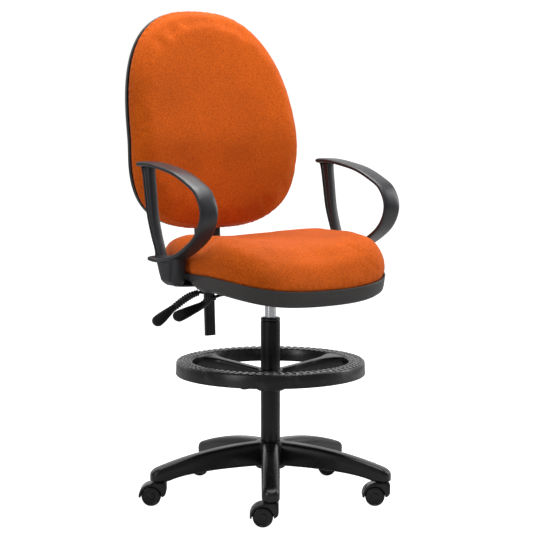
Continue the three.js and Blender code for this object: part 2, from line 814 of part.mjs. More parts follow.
function seatCushion() {
  const foot = BOARD_Z + SEAT_BOARD_THICKNESS + SOFT_GAP;
  const rim = SEAT_RIM_Z + GAP;
  const top = SEAT_RIM_Z + SEAT_CROWN;
  return seatForm(
    [
      ...SEAT_RINGS.map((share) => [share, foot]),
      [0.93, foot],
      [0.955, rim - 5],
      [0.97, rim],
      [1, rim],
      [1.012, rim + 10],
      [1.008, rim + 24],
      [0.975, rim + 42],
      [0.91, top - 10],
      [0.8, top - 2],
      [0.62, top],
      [0.4, top],
      [0.2, top],
      [0, top],
    ],
    SOFT_SIDES,
    seatContour,
  );
}

// ---------------------------------------------------------------- seat mechanism
function housing() {
  const plateTop = BOARD_Z - GAP;
  const plateFoot = plateTop - PLATE_THICKNESS;
  const wide = PLATE_WIDTH / 2;
  let solid = solidOf(box([-wide, -PLATE_FRONT, plateFoot], [wide, PLATE_MIDDLE, plateTop]));
  const inner = CHEEK_X - CHEEK_THICKNESS;
  const spine = box([-CHEEK_X, PLATE_MIDDLE - 10, plateFoot], [CHEEK_X, PLATE_REAR, plateTop]);
  solid = solid.add(solidOf(spine));
  for (const side of [-1, 1]) {
    const cheek = box(
      [Math.min(side * inner, side * CHEEK_X), -PLATE_FRONT + 6, CHEEK_FOOT],
      [Math.max(side * inner, side * CHEEK_X), PLATE_REAR, plateFoot + 1],
    );
    solid = solid.add(solidOf(cheek));
  }
  const nose = -PLATE_FRONT + 6;
  const front = box([-CHEEK_X, nose, CHEEK_FOOT], [CHEEK_X, nose + 4, plateFoot + 1]);
  const floor = box([-CHEEK_X, nose, CHEEK_FOOT], [CHEEK_X, 60, CHEEK_FOOT + 3]);
  const socket = rod(SOCKET_R, SOCKET_FOOT, SOCKET_HEAD, MIDDLE);
  solid = solid.add(solidOf(front)).add(solidOf(floor)).add(solidOf(socket));
  solid = solid.subtract(solidOf(rod(CYLINDER_R + GAP, SOCKET_FOOT - 1, SOCKET_HEAD + 1, MIDDLE)));
  for (const y of [0, LEVER_BACK_Y]) {
    solid = solid.add(pinEars(y, plateFoot));
    const slot = box(
      [-CHEEK_X - 1, y - LEVER_ROD_R - 3, LEVER_PIVOT_Z - 9],
      [-inner + 1, y + LEVER_ROD_R + 3, LEVER_PIVOT_Z + 9],
    );
    solid = solid.subtract(solidOf(slot));
  }
  const pinHole = alongX(rod(BACK_PIN_R + RUN, -CHEEK_X - 1, CHEEK_X + 1, MIDDLE));
  solid = solid.subtract(solidOf(pinHole.translate(0, BACK_PIVOT_Y, BACK_PIVOT_Z)));
  return geometryOf(solid);
}

// Two ears that hang from the plate and hold one lever's pin.
function pinEars(y, plateFoot) {
  const half = LEVER_HUB_WIDTH / 2 + GAP;
  const hole = alongY(rod(LEVER_PIN_R + RUN, -20, 20)).translate(LEVER_PIVOT_X, y, LEVER_PIVOT_Z);
  let ears = null;
  for (const side of [-1, 1]) {
    const near = y + side * half;
    const far = y + side * (half + 3);
    const ear = solidOf(
      box(
        [LEVER_PIVOT_X - 6, Math.min(near, far), LEVER_PIVOT_Z - 6],
        [LEVER_PIVOT_X + 6, Math.max(near, far), plateFoot + 1],
      ),
    );
    ears = ears ? ears.add(ear) : ear;
  }
  return ears.subtract(solidOf(hole));
}

function leverPin(y) {
  const half = LEVER_HUB_WIDTH / 2 + GAP + 4;
  return alongY(rod(LEVER_PIN_R, -half, half)).translate(LEVER_PIVOT_X, y, LEVER_PIVOT_Z);
}

// Points of a lever's rod from its hub outwards and down, in the X-Z plane.
function leverPath(bendX, bendZ, endX, endZ) {
  return [
    new THREE.Vector3(LEVER_PIVOT_X - 4, 0, LEVER_PIVOT_Z),
    new THREE.Vector3(LEVER_PIVOT_X - 62, 0, LEVER_PIVOT_Z - 4),
    new THREE.Vector3(bendX, 0, bendZ),
    new THREE.Vector3(endX, 0, endZ),
  ];
}

function circleShape(radius) {
  return new THREE.Shape().absarc(0, 0, radius, 0, Math.PI * 2);
}

function tubeAlong(curve, radius, steps, sides) {
  return new THREE.ExtrudeGeometry(circleShape(radius), {
    steps,
    curveSegments: sides,
    extrudePath: curve,
  });
}

function leverRod(path, y, fingerEnd) {
  const curve = new THREE.CatmullRomCurve3(path);
  let solid = solidOf(tubeAlong(curve, LEVER_ROD_R, 9, 4));
  const half = LEVER_HUB_WIDTH / 2;
  const hub = alongY(rod(LEVER_HUB_R, -half, half)).translate(LEVER_PIVOT_X, 0, LEVER_PIVOT_Z);
  const fingerFoot = CYLINDER_TOP + PIN_RISE + 0.6;
  const finger = box(
    [LEVER_PIVOT_X - 2, -half + 1, fingerFoot],
    [fingerEnd, half - 1, fingerFoot + FINGER_THICKNESS],
  );
  const riser = box(
    [LEVER_PIVOT_X - 3, -half + 1, LEVER_PIVOT_Z],
    [LEVER_PIVOT_X + 5, half - 1, fingerFoot + FINGER_THICKNESS],
  );
  const hole = alongY(rod(LEVER_PIN_R + RUN, -20, 20)).translate(LEVER_PIVOT_X, 0, LEVER_PIVOT_Z);
  solid = solid.add(solidOf(hub)).add(solidOf(riser)).add(solidOf(finger)).subtract(solidOf(hole));
  return geometryOf(solid.translate([0, y, 0]));
}

// The plastic sleeve and paddle pushed over the end of a lever's rod.
function leverGrip(path, y, tipX, tipZ) {
  const curve = new THREE.CatmullRomCurve3(path);
  const sleeveShares = [0.68, 0.79, 0.9, 1];
  const sleevePath = new THREE.CatmullRomCurve3(sleeveShares.map((t) => curve.getPoint(t)));
  let solid = solidOf(tubeAlong(sleevePath, SLEEVE_R, 5, 6));
  const start = curve.getPoint(1);
  const length = Math.hypot(tipX - start.x, tipZ - start.z);
  const tilt = Math.atan2(tipZ - start.z, tipX - start.x);
  const outline = new THREE.Shape();
  const half = PADDLE_WIDTH / 2;
  outline.moveTo(-8, -SLEEVE_R);
  outline.quadraticCurveTo(length * 0.25, -half, length - half, -half);
  outline.absarc(length - half, 0, half, -Math.PI / 2, Math.PI / 2);
  outline.quadraticCurveTo(length * 0.25, half, -8, SLEEVE_R);
  const paddle = new THREE.ExtrudeGeometry(outline, {
    depth: PADDLE_THICKNESS - 4,
    bevelThickness: 2,
    bevelSize: 2,
    bevelOffset: -2,
    bevelSegments: 1,
    curveSegments: 4,
  });
  paddle.translate(0, 0, -PADDLE_THICKNESS / 2 + 2);
  paddle.rotateX(PADDLE_TWIST).rotateY(-tilt).translate(start.x, 0, start.z);
  solid = solid.add(solidOf(paddle));
  const boreShares = [0.6, 0.7, 0.8, 0.9, 1];
  const boreCurve = new THREE.CatmullRomCurve3(boreShares.map((t) => curve.getPoint(t)));
  solid = solid.subtract(solidOf(tubeAlong(boreCurve, LEVER_ROD_R + GAP * 2, 5, 4)));
  const endRoom = new THREE.SphereGeometry(LEVER_ROD_R + GAP * 4, 8, 6);
  endRoom.translate(start.x, 0, start.z);
  solid = solid.subtract(solidOf(endRoom));
  return geometryOf(solid.translate([0, y, 0]));
}

function backPin() {
  const half = CHEEK_X + GAP;
  const head = BACK_PIN_R + 3;
  const profile = [
    [0, -half - BACK_PIN_HEAD],
    [head, -half - BACK_PIN_HEAD],
    [head, -half],
    [BACK_PIN_R, -half],
    [BACK_PIN_R, half],
    [head, half],
    [head, half + BACK_PIN_HEAD],
    [0, half + BACK_PIN_HEAD],
  ];
  return alongX(lathe(profile, MIDDLE)).translate(0, BACK_PIVOT_Y, BACK_PIVOT_Z);
}

// ---------------------------------------------------------------- arms
// The loop's middle line in the Y-Z plane, from the upper tail over the front to the lower tail.
function armLine() {
  return new THREE.CatmullRomCurve3(
    [
      [150, 858],
      [100, 858],
      [45, 851],
      [-20, 838],
      [-80, 815],
      [-118, 793],
      [-139, 757],
      [-135, 722],
      [-110, 688],
      [-64, 658],
      [-19, 638],
      [35, 627],
      [95, 621],
    ].map(([y, z]) => new THREE.Vector3(0, y, z)),
  );
}

// A band of constant section swept along the loop, thinning at both tails.
function armBand() {
  const half = ARM_THICKNESS / 2;
  const steps = 26;
  const line = armLine();
  const shape = new THREE.Shape();
  const outer = [];
  const inner = [];
  for (let i = 0; i <= steps; i += 1) {
    const t = i / steps;
    const point = line.getPoint(t);
    const tangent = line.getTangent(t);
    const thin = 0.8 + 0.2 * clamp01(Math.min(t, 1 - t) * 9);
    const reachY = tangent.z * half * thin;
    const reachZ = tangent.y * half * thin;
    outer.push([point.y + reachY, point.z - reachZ]);
    inner.push([point.y - reachY, point.z + reachZ]);
  }
  [...outer, ...inner.reverse()].forEach(([y, z], index) => {
    if (index === 0) shape.moveTo(y, z);
    else shape.lineTo(y, z);
  });
  return sideways(shape, ARM_WIDTH, 2);
}

// The rear post: an upright of I section that leans with the loop.
function armPost() {
  // [middle Y, half depth, Z] from the upper tail down into the lower one
  const stations = [
    [132, 22, 860],
    [127, 16, 842],
    [120, 14, 800],
    [109, 12.5, 735],
    [92, 11, 685],
    [76, 10, 650],
    [71, 12, 634],
    [69, 17, 622],
  ];
  const outline = (inset) => {
    const rear = stations.map(([y, half, z]) => [y + half - inset, z]);
    const front = stations.map(([y, half, z]) => [y - half + inset, z]).reverse();
    return shapeFrom([...rear, ...front]);
  };
  let solid = solidOf(sideways(outline(0), POST_WIDTH));
  for (const side of [-1, 1]) {
    const cut = sideways(outline(POST_EDGE), 2 * POST_FLUTE).translate((side * POST_WIDTH) / 2, 0, 0);
    solid = solid.subtract(solidOf(cut));
  }
  return solid;
}

// The moulded boss under the lower tail that the steel bracket slides into.
function armBoss() {
  const foot = BRACKET_FOOT + BRACKET_THICKNESS / 2;
  const shape = new THREE.Shape();
  shape.moveTo(-24, 642);
  shape.quadraticCurveTo(-16, 600, -10, foot + 8);
  shape.quadraticCurveTo(0, foot, 16, foot);
  shape.quadraticCurveTo(50, foot + 2, 56, foot + 20);
  shape.quadraticCurveTo(62, 600, 70, 620);
  return solidOf(sideways(shape, BOSS_WIDTH, 4, 5));
}

// The left arm (+X side) is the drawn one; the right arm is its mirror image.
function armLoop() {
  return solidOf(armBand()).add(armPost()).add(armBoss());
}

function armWithSlot() {
  const half = BRACKET_WIDTH / 2 - 3;
  const slot = box(
    [BRACKET_LEG_X - GAP, ARM_MIDDLE_Y - half - GAP, BRACKET_FOOT - 20],
    [BRACKET_LEG_X + BRACKET_THICKNESS + GAP, ARM_MIDDLE_Y + half + GAP, BRACKET_HEAD + GAP],
  );
  const mouth = box(
    [-BOSS_WIDTH, ARM_MIDDLE_Y - half - GAP, BRACKET_FOOT - 20],
    [BRACKET_LEG_X + 1, ARM_MIDDLE_Y + half + GAP, BRACKET_FOOT + BRACKET_THICKNESS + GAP],
  );
  return armLoop().subtract(solidOf(slot)).subtract(solidOf(mouth));
}

// An L of flat bar: one leg up inside the boss, one leg in under the seat board.
function armBracket() {
  const half = BRACKET_WIDTH / 2 - 3;
  const outer = ARM_X + BRACKET_LEG_X + BRACKET_THICKNESS;
  const flat = box(
    [BRACKET_INNER_X, ARM_MIDDLE_Y - half, BRACKET_FOOT],
    [outer, ARM_MIDDLE_Y + half, BRACKET_FOOT + BRACKET_THICKNESS],
  );
  const upright = box(
    [outer - BRACKET_THICKNESS, ARM_MIDDLE_Y - half, BRACKET_FOOT],
    [outer, ARM_MIDDLE_Y + half, BRACKET_HEAD],
  );
  return solidOf(flat).add(solidOf(upright));
}

function addArm(side, name) {
  const loop = armWithSlot().translate([ARM_X, 0, 0]);
  const bracket = armBracket();
  const mirror = (solid) => (side > 0 ? solid : solid.mirror([1, 0, 0]));
  add("arm_loop_" + name, geometryOf(mirror(loop)), ARM_GREY);
  add("arm_bracket_" + name, geometryOf(mirror(bracket)), BLACK_STEEL);
}

// ---------------------------------------------------------------- back
function backReach(angle) {
  const up = Math.sin(angle);
  const rise = up >= 0 ? BACK_UP : BACK_DOWN;
  const blend = clamp01(0.5 + up);
  const power = BACK_DOWN_POWER + (BACK_UP_POWER - BACK_DOWN_POWER) * blend;
  return reach(Math.cos(angle), up, BACK_HALF_WIDTH, rise, power);
}

// The Y of the back's rim plane: leaning away upwards, curling away below the lumbar, wrapping the
// sitter a little at its sides.
function backPlane(x, z) {
  const rise = z - BACK_WIDEST_Z;
  const lean = rise > 0 ? BACK_LEAN_UP : BACK_LEAN_DOWN;
  return BACK_Y + (lean * rise ** 2) / (Math.abs(rise) + BACK_LEAN_SOFTNESS) - BACK_WRAP * x ** 2;
}

// A solid whose profile of [share of the back outline, depth ahead of the rim plane] follows the back.
function backForm(profile, segments) {
  const steps = profile.map(([share, depth]) => [share * 100, depth]);
  return mapped(lathe(steps, segments), (x, y, depth) => {
    const share = Math.hypot(x, y) / 100;
    const angle = Math.atan2(y, x);
    const radius = share * backReach(angle);
    const px = radius * Math.cos(angle);
    const pz = BACK_WIDEST_Z + radius * Math.sin(angle);
    return [px, backPlane(px, pz) - depth, pz];
  });
}

function backCushion() {
  const foot = -BACK_BOARD_DEPTH + SOFT_GAP;
  return backForm(
    [
      ...BACK_RINGS.map((share) => [share, foot]),
      [0.95, foot],
      [0.985, foot + 2],
      [1, foot + 14],
      [1, foot + 28],
      [0.97, BACK_PAD - 10],
      [0.9, BACK_PAD - 3],
      [0.75, BACK_PAD],
      [0.5, BACK_PAD],
      [0.25, BACK_PAD],
      [0, BACK_PAD],
    ],
    SOFT_SIDES,
  );
}

function backBoard() {
  const front = -BACK_BOARD_DEPTH;
  const rear = front - BACK_BOARD_THICKNESS;
  const level = (depth) => BACK_RINGS.map((share) => [share, depth]);
  return backForm([...level(rear), ...level(front).reverse()], SOFT_SIDES);
}

function backShell() {
  const rim = -BACK_BOARD_DEPTH - GAP;
  const wall = SHELL_WALL / BACK_HALF_WIDTH;
  const floor = -BACK_SHELL_DEPTH;
  const outside = [
    [0, floor],
    [0.4, floor],
    [0.68, floor + 4],
    [0.86, floor + 14],
    [0.955, floor + 27],
    [0.985, floor + 38],
    [0.985, rim],
  ];
  const inside = [
    [0.985 - wall, rim],
    [0.985 - wall, floor + 38.5],
    [0.955 - wall, floor + 28.5],
    [0.86 - wall, floor + 16.5],
    [0.68, floor + 7],
    [0.4, floor + 3],
    [0, floor + 3],
  ];
  let solid = solidOf(backForm([...outside, ...inside], SOFT_SIDES));
  const half = COVER_WIDTH / 2 + 1;
  const notch = box([-half, BACK_Y, COVER_FOOT_Z], [half, BAR_FOOT_Y + 60, COVER_TOP_Z + 3]);
  solid = solid.subtract(solidOf(notch));
  const barHalf = BAR_WIDTH / 2 + GAP;
  const barDepth = BAR_THICKNESS / 2 + GAP;
  const barRoom = box([-barHalf, -barDepth, 0], [barHalf, barDepth, BAR_LENGTH + 1]);
  return geometryOf(solid.subtract(solidOf(onBar(barRoom))));
}

// Places a piece drawn round the Z axis on the leaning bar, its zero at the bar's foot.
function onBar(geometry) {
  return geometry.rotateX(-BAR_LEAN).translate(0, BAR_FOOT_Y, BAR_FOOT_Z);
}

function upright() {
  const section = roundedRectangle(BAR_WIDTH, BAR_THICKNESS, BAR_CORNER_R);
  return onBar(raised(section, 0, BAR_LENGTH, 4));
}

function uprightCover() {
  const foot = COVER_FOOT_Z - BAR_FOOT_Z;
  const head = COVER_TOP_Z - BAR_FOOT_Z;
  const outside = raised(roundedRectangle(COVER_WIDTH, COVER_THICKNESS, 9), foot, head, 4);
  const inside = raised(
    roundedRectangle(BAR_WIDTH + 2 * GAP, BAR_THICKNESS + 2 * GAP, BAR_CORNER_R),
    foot - 1,
    head + 1,
    4,
  );
  return geometryOf(solidOf(onBar(outside)).subtract(solidOf(onBar(inside))));
}

// The block that the bar's head is bolted through into the back board.
function fixingBlock() {
  const rear = BACK_BOARD_DEPTH + BACK_BOARD_THICKNESS + GAP;
  const levels = [712, 735, 758, 782];
  const slope = Math.tan(BAR_LEAN);
  const halfBar = BAR_THICKNESS / 2 / Math.cos(BAR_LEAN);
  const barFace = (z) => BAR_FOOT_Y + (z - BAR_FOOT_Z) * slope - halfBar - GAP;
  const ahead = levels.map((z) => [backPlane(0, z) + rear + 0.4, z]);
  const behind = levels.map((z) => [barFace(z), z]).reverse();
  return sideways(shapeFrom([...ahead, ...behind]), BAR_WIDTH + 14);
}

// The tilting bracket: two plates on the pivot pin and a socket round the bar.
function backBracket() {
  const socketMiddle = SLEEVE_FOOT_Z + SLEEVE_HEIGHT / 2;
  const socketY = BAR_FOOT_Y + (socketMiddle - BAR_FOOT_Z) * Math.tan(BAR_LEAN);
  const foot = SLEEVE_FOOT_Z - BAR_FOOT_Z;
  const wide = BAR_WIDTH + 2 * (GAP + SLEEVE_WALL);
  const deep = BAR_THICKNESS + 2 * (GAP + SLEEVE_WALL);
  const socket = raised(roundedRectangle(wide, deep, 4), foot, foot + SLEEVE_HEIGHT, 3);
  let solid = solidOf(onBar(socket));
  const outerX = CHEEK_X - CHEEK_THICKNESS - GAP;
  const webRear = socketY - BAR_THICKNESS / 2 - 1;
  for (const side of [-1, 1]) {
    const plate = sideways(
      shapeFrom([
        [BACK_PIVOT_Y - 13, FORK_FOOT_Z],
        [webRear, FORK_FOOT_Z],
        [webRear, FORK_REAR_TOP_Z],
        [BACK_PIVOT_Y + 18, FORK_TOP_Z],
        [BACK_PIVOT_Y - 13, FORK_TOP_Z],
      ]),
      FORK_THICKNESS,
    );
    solid = solid.add(solidOf(plate.translate(side * (outerX - FORK_THICKNESS / 2), 0, 0)));
  }
  const web = box([-outerX, webRear - 6, FORK_FOOT_Z], [outerX, webRear + 1, FORK_REAR_TOP_Z]);
  const floor = box([-outerX, BACK_PIVOT_Y + 30, FORK_FOOT_Z], [outerX, webRear, FORK_FOOT_Z + 3]);
  solid = solid.add(solidOf(web)).add(solidOf(floor));
  const half = BAR_WIDTH / 2 + GAP;
  const hollow = raised(
    roundedRectangle(2 * half, BAR_THICKNESS + 2 * GAP, BAR_CORNER_R),
    foot - 1,
    foot + SLEEVE_HEIGHT + 1,
    4,
  );
  solid = solid.subtract(solidOf(onBar(hollow)));
  const pinHole = alongX(rod(BACK_PIN_R + RUN, -CHEEK_X, CHEEK_X, MIDDLE));
  return geometryOf(solid.subtract(solidOf(pinHole.translate(0, BACK_PIVOT_Y, BACK_PIVOT_Z))));
}

// ---------------------------------------------------------------- assembly
add("star_base", starBase(), NYLON);
for (let i = 0; i < LEGS; i += 1) {
  addCaster(i);
}

add("column_tube", columnTube(), BLACK_STEEL);
add("guide_bushing", guideBushing(), SOFT_BLACK);
add("thrust_bearing", thrustBearing(), STEEL);
add("piston_rod", pistonRod(), CHROME);
add("rod_clip", rodClip(), STEEL);
add("gas_piston", gasPiston(), STEEL);
add("gas_cylinder", gasCylinder(), CHROME);
add("release_pin", releasePin(), STEEL);

add("footring", footring(), NYLON);
const knobGroup = new THREE.Group();
knobGroup.position.z = KNOB_Z;
knobGroup.rotation.z = KNOB_ANGLE;
chair.add(knobGroup);
add("footring_knob", clampKnob(), SOFT_BLACK, knobGroup);
add("footring_screw", clampScrew(), STEEL, knobGroup);

add("seat_shell", seatShell(), SHELL_GREY);
add("seat_board", seatBoard(), PLYWOOD);
add("seat_cushion", seatCushion(), FABRIC);
addArm(1, "left");
addArm(-1, "right");

add("mechanism_housing", housing(), BLACK_STEEL);
const heightPath = leverPath(-172, 529, -212, 510);
add("height_lever_rod", leverRod(heightPath, 0, 0), BLACK_STEEL);
add("height_lever_grip", leverGrip(heightPath, 0, -293, 484), SOFT_BLACK);
add("height_lever_pin", leverPin(0), STEEL);
const backPath = leverPath(-176, 526, -238, 494);
add("back_lever_rod", leverRod(backPath, LEVER_BACK_Y, -6), BLACK_STEEL);
add("back_lever_grip", leverGrip(backPath, LEVER_BACK_Y, -292, 459), SOFT_BLACK);
add("back_lever_pin", leverPin(LEVER_BACK_Y), STEEL);

add("back_pivot_pin", backPin(), STEEL);
add("back_bracket", backBracket(), BLACK_STEEL);
add("back_upright", upright(), BLACK_STEEL);
add("upright_cover", uprightCover(), SOFT_BLACK);
add("back_fixing_block", fixingBlock(), NYLON);
add("back_board", backBoard(), PLYWOOD);
add("back_shell", backShell(), SOFT_BLACK);
add("back_cushion", backCushion(), FABRIC);

// The footprint's middle goes over the origin.
chair.updateMatrixWorld(true);
const footprint = new THREE.Box3().setFromObject(chair, true);
const middle = footprint.getCenter(new THREE.Vector3());
chair.position.set(-middle.x, -middle.y, -footprint.min.z);

export default chair;
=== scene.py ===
# %% [markdown]
# # A draughtsman's chair
#
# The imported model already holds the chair's working parts: the five-leg base, the tall column with
# its gas lift and footring, the seat mechanism, the arms and the tilting back. This script dresses
# that model. Soft parts are stuffed again as cloth, moulded parts are drawn again as smooth
# surfaces, and every finish is built from noise and waves.
#
# The frame is opened first, because each piece takes its place from it.

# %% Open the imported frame
import json
import math

import bmesh
import bpy
import numpy as np
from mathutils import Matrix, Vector


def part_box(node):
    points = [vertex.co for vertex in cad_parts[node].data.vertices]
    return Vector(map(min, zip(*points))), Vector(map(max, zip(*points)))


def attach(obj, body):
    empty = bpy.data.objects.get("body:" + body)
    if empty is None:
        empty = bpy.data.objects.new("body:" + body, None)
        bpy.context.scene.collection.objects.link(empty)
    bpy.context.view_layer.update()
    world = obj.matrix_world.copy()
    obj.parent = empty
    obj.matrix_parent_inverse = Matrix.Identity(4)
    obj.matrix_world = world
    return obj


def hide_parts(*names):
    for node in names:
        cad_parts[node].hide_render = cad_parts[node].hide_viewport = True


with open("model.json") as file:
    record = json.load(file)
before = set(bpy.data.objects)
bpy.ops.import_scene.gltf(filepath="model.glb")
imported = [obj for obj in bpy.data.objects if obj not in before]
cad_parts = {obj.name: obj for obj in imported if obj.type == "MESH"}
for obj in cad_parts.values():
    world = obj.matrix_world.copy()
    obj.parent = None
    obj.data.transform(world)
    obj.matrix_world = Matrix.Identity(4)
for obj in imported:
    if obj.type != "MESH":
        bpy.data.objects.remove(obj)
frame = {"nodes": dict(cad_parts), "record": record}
scene = bpy.context.scene
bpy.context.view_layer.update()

# %% [markdown]
# ## One ruler for every piece
#
# A chair is turned about its column, so the shapes below are worked out in millimetres from the
# column's axis, with the floor at zero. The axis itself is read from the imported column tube.

# %% Find the column's axis
MM = 0.001
TUBE_FOOT = 76.0  # height of the column's foot above the floor, as it is drawn
tube_low, tube_high = (np.array(corner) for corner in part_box("column_tube"))
AXIS = np.append((tube_low + tube_high)[:2] / 2, tube_low[2] - TUBE_FOOT * MM)


def link(thing):
    """Puts an object into the scene."""
    scene.collection.objects.link(thing)


def millimetres(node):
    """The box of a CAD node as two corners in millimetres from the column's axis."""
    low, high = (np.array(corner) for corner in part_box(node))
    return (low - AXIS) / MM, (high - AXIS) / MM


print("column axis:", AXIS.round(4))

# %% [markdown]
# ## The studio
#
# The chair stands on a plain white floor in front of a white sweep, as catalogue furniture does. The
# sweep gives every dark edge a bright rim, while the front of the studio is dim, so that the dark
# mouldings stay dark. Two broad soft lamps overhead make the seat lighter than the lower back, and a
# lamp on each side puts long soft highlights on the mouldings.

# %% Camera
VIEW_TURN = math.radians(36.0)  # the camera looks from the sitter's front right
VIEW_FALL = math.radians(5.46)
CAMERA_AWAY = 3.877
CAMERA_SIDE = -0.0102
CAMERA_HEIGHT = 0.966
LENS = 103.16
SENSOR = 36.0

level = Vector((math.sin(VIEW_TURN), math.cos(VIEW_TURN), 0))
right = Vector((math.cos(VIEW_TURN), -math.sin(VIEW_TURN), 0))
camera = bpy.data.objects.new("camera", bpy.data.cameras.new("camera"))
camera.data.lens = LENS
camera.data.sensor_width = SENSOR
camera.location = Vector(AXIS) - level * CAMERA_AWAY + right * CAMERA_SIDE
camera.location.z = AXIS[2] + CAMERA_HEIGHT
looking = level * math.cos(VIEW_FALL) - Vector((0, 0, math.sin(VIEW_FALL)))
camera.rotation_euler = looking.to_track_quat("-Z", "Y").to_euler()
link(camera)
scene.camera = camera
scene.view_settings.view_transform = "Standard"
print("camera at", [round(v, 3) for v in camera.location])

# %% Lamps
CHAIR_MIDDLE = (0, 0, 0.7)


def lamp(name, place, target, size, power):
    """A rectangular area lamp at a place, turned to face its target."""
    light = bpy.data.lights.new(name, "AREA")
    light.shape = "RECTANGLE"
    light.size, light.size_y = size
    light.energy = power
    holder = bpy.data.objects.new(name, light)
    holder.location = place
    aim = Vector(target) - Vector(place)
    holder.rotation_euler = aim.to_track_quat("-Z", "Y").to_euler()
    link(holder)


lamp("overhead_lamp", (0.3, -0.3, 3.2), CHAIR_MIDDLE, (1.8, 1.8), 54)
lamp("rear_lamp", (0.3, 0.8, 3.0), CHAIR_MIDDLE, (1.8, 1.2), 36)
lamp("right_lamp", (2.6, -1.2, 1.8), CHAIR_MIDDLE, (0.8, 2.4), 44)
lamp("left_lamp", (-2.8, -0.6, 1.6), (0, 0, 0.6), (0.5, 2.2), 24)
print(len(bpy.data.lights), "lamps")

# %% [markdown]
# ## Shader helpers
#
# A finish is a small graph of nodes. These helpers add a node, give its sockets their values and
# join sockets, so that each finish below reads as a short recipe.


# %% Node helpers
def plug(tree, value, socket):
    """Joins another node's output to an input socket, or gives the socket a plain value."""
    if isinstance(value, bpy.types.NodeSocket):
        tree.links.new(value, socket)
    else:
        socket.default_value = value


def fill(tree, node, **sockets):
    """Fills a node's input sockets, by name (an underline stands for a space) or by number."""
    for key, value in sockets.items():
        name = key.replace("_", " ").strip()
        plug(tree, value, node.inputs[int(name) if name.isdigit() else name])


def put(tree, kind, settings=None, **sockets):
    """Adds a node with its settings, and fills its sockets."""
    made = tree.nodes.new(kind)
    for key, value in (settings or {}).items():
        setattr(made, key, value)
    fill(tree, made, **sockets)
    return made


def calc(tree, operation, first, second=0.0):
    """One step of arithmetic; returns its output."""
    return put(tree, "ShaderNodeMath", {"operation": operation}, _0=first, _1=second).outputs[0]


def vector_calc(tree, operation, first, **others):
    """One step of arithmetic on a vector; returns its output."""
    return put(tree, "ShaderNodeVectorMath", {"operation": operation}, _0=first, **others).outputs[0]


def split(tree, vector):
    """The three parts of a vector, as outputs."""
    return put(tree, "ShaderNodeSeparateXYZ", Vector=vector).outputs


def noise(tree, place, scale, detail, roughness=0.5):
    """Noise from 0 to 1; returns its output."""
    values = {"Vector": place, "Scale": scale, "Detail": detail, "Roughness": roughness}
    return put(tree, "ShaderNodeTexNoise", **values).outputs["Fac"]


def relief(tree, height, strength, depth):
    """Turns a height into a bump of some depth in metres; returns its output."""
    return put(tree, "ShaderNodeBump", Strength=strength, Distance=depth, Height=height).outputs[0]


def blend_colours(tree, share, first, second):
    """A colour between two colours, by a share from 0 to 1; returns its output."""
    return put(tree, "ShaderNodeMix", {"data_type": "RGBA"}, _0=share, _6=first, _7=second).outputs[2]


def span(tree, value, low, high, to_low, to_high, kind="LINEAR"):
    """Carries a value from one range into another and stops it there; returns its output."""
    limits = {"From_Min": low, "From_Max": high, "To_Min": to_low, "To_Max": to_high}
    made = put(tree, "ShaderNodeMapRange", {"interpolation_type": kind}, Value=value, **limits)
    return made.outputs[0]


def new_group(name, numbers, output):
    """A node group that takes a place and some numbers, and gives one number out."""
    group = bpy.data.node_groups.new(name, "ShaderNodeTree")
    add = group.interface.new_socket
    add("Vector", in_out="INPUT", socket_type="NodeSocketVector")
    for socket, value in numbers.items():
        add(socket, in_out="INPUT", socket_type="NodeSocketFloat").default_value = value
    add(output, in_out="OUTPUT", socket_type="NodeSocketFloat")
    given = group.nodes.new("NodeGroupInput").outputs
    return group, given, group.nodes.new("NodeGroupOutput").inputs[0]


print("helpers ready")

# %% [markdown]
# ## The sky
#
# The sky stands for the sweep. It is bright behind the chair, dim in front and at the sides, and
# plain white where the camera sees it.

# %% Light the sky
SKY_SEEN = 1.0  # what the camera sees behind the chair
SKY_LIGHT = 0.24  # what falls on the chair from the front and the sides
SKY_BEHIND = 0.95  # what falls on it from the sweep behind
SWEEP_START, SWEEP_FULL = 0.1, 0.8  # cosines of the angle to the camera's direction

sky = bpy.data.worlds.new("sky")
sky.use_nodes = True
tree = sky.node_tree
direction = tree.nodes.new("ShaderNodeTexCoord").outputs["Generated"]
behind = put(tree, "ShaderNodeVectorMath", {"operation": "DOT_PRODUCT"}, _0=direction, _1=tuple(level))
falling = span(
    tree, behind.outputs["Value"], SWEEP_START, SWEEP_FULL, SKY_LIGHT, SKY_BEHIND, "SMOOTHSTEP"
)
seen = tree.nodes.new("ShaderNodeLightPath").outputs["Is Camera Ray"]
strength = span(tree, seen, 0, 1, falling, SKY_SEEN)
fill(tree, tree.nodes["Background"], Strength=strength, Color=(1, 1, 1, 1))
scene.world = sky
print("sky light", SKY_LIGHT)

# %% [markdown]
# ## Effects shared by several finishes
#
# *Cloud* is the slow unevenness that every real surface has. *Pebble* is the fine leather-like grain
# that is etched into the mould of a plastic part, or the orange peel of a powder coat. *Rub* marks
# where hands and shoes polish or scuff a part: patches that lie on faces turned upwards. *Weave*
# crosses two sets of threads on each of the three main planes and picks the plane that a face looks
# along, so that the cloth needs no unwrapping.


# %% Cloud, pebble and rub
def cloud_group():
    """Slow noise, stretched to reach from 0 to 1."""
    group, given, result = new_group("cloud", {"Scale": 12.0}, "Value")
    coarse = noise(group, given[0], given[1], 3.0)
    plug(group, span(group, coarse, 0.3, 0.7, 0, 1), result)
    return group


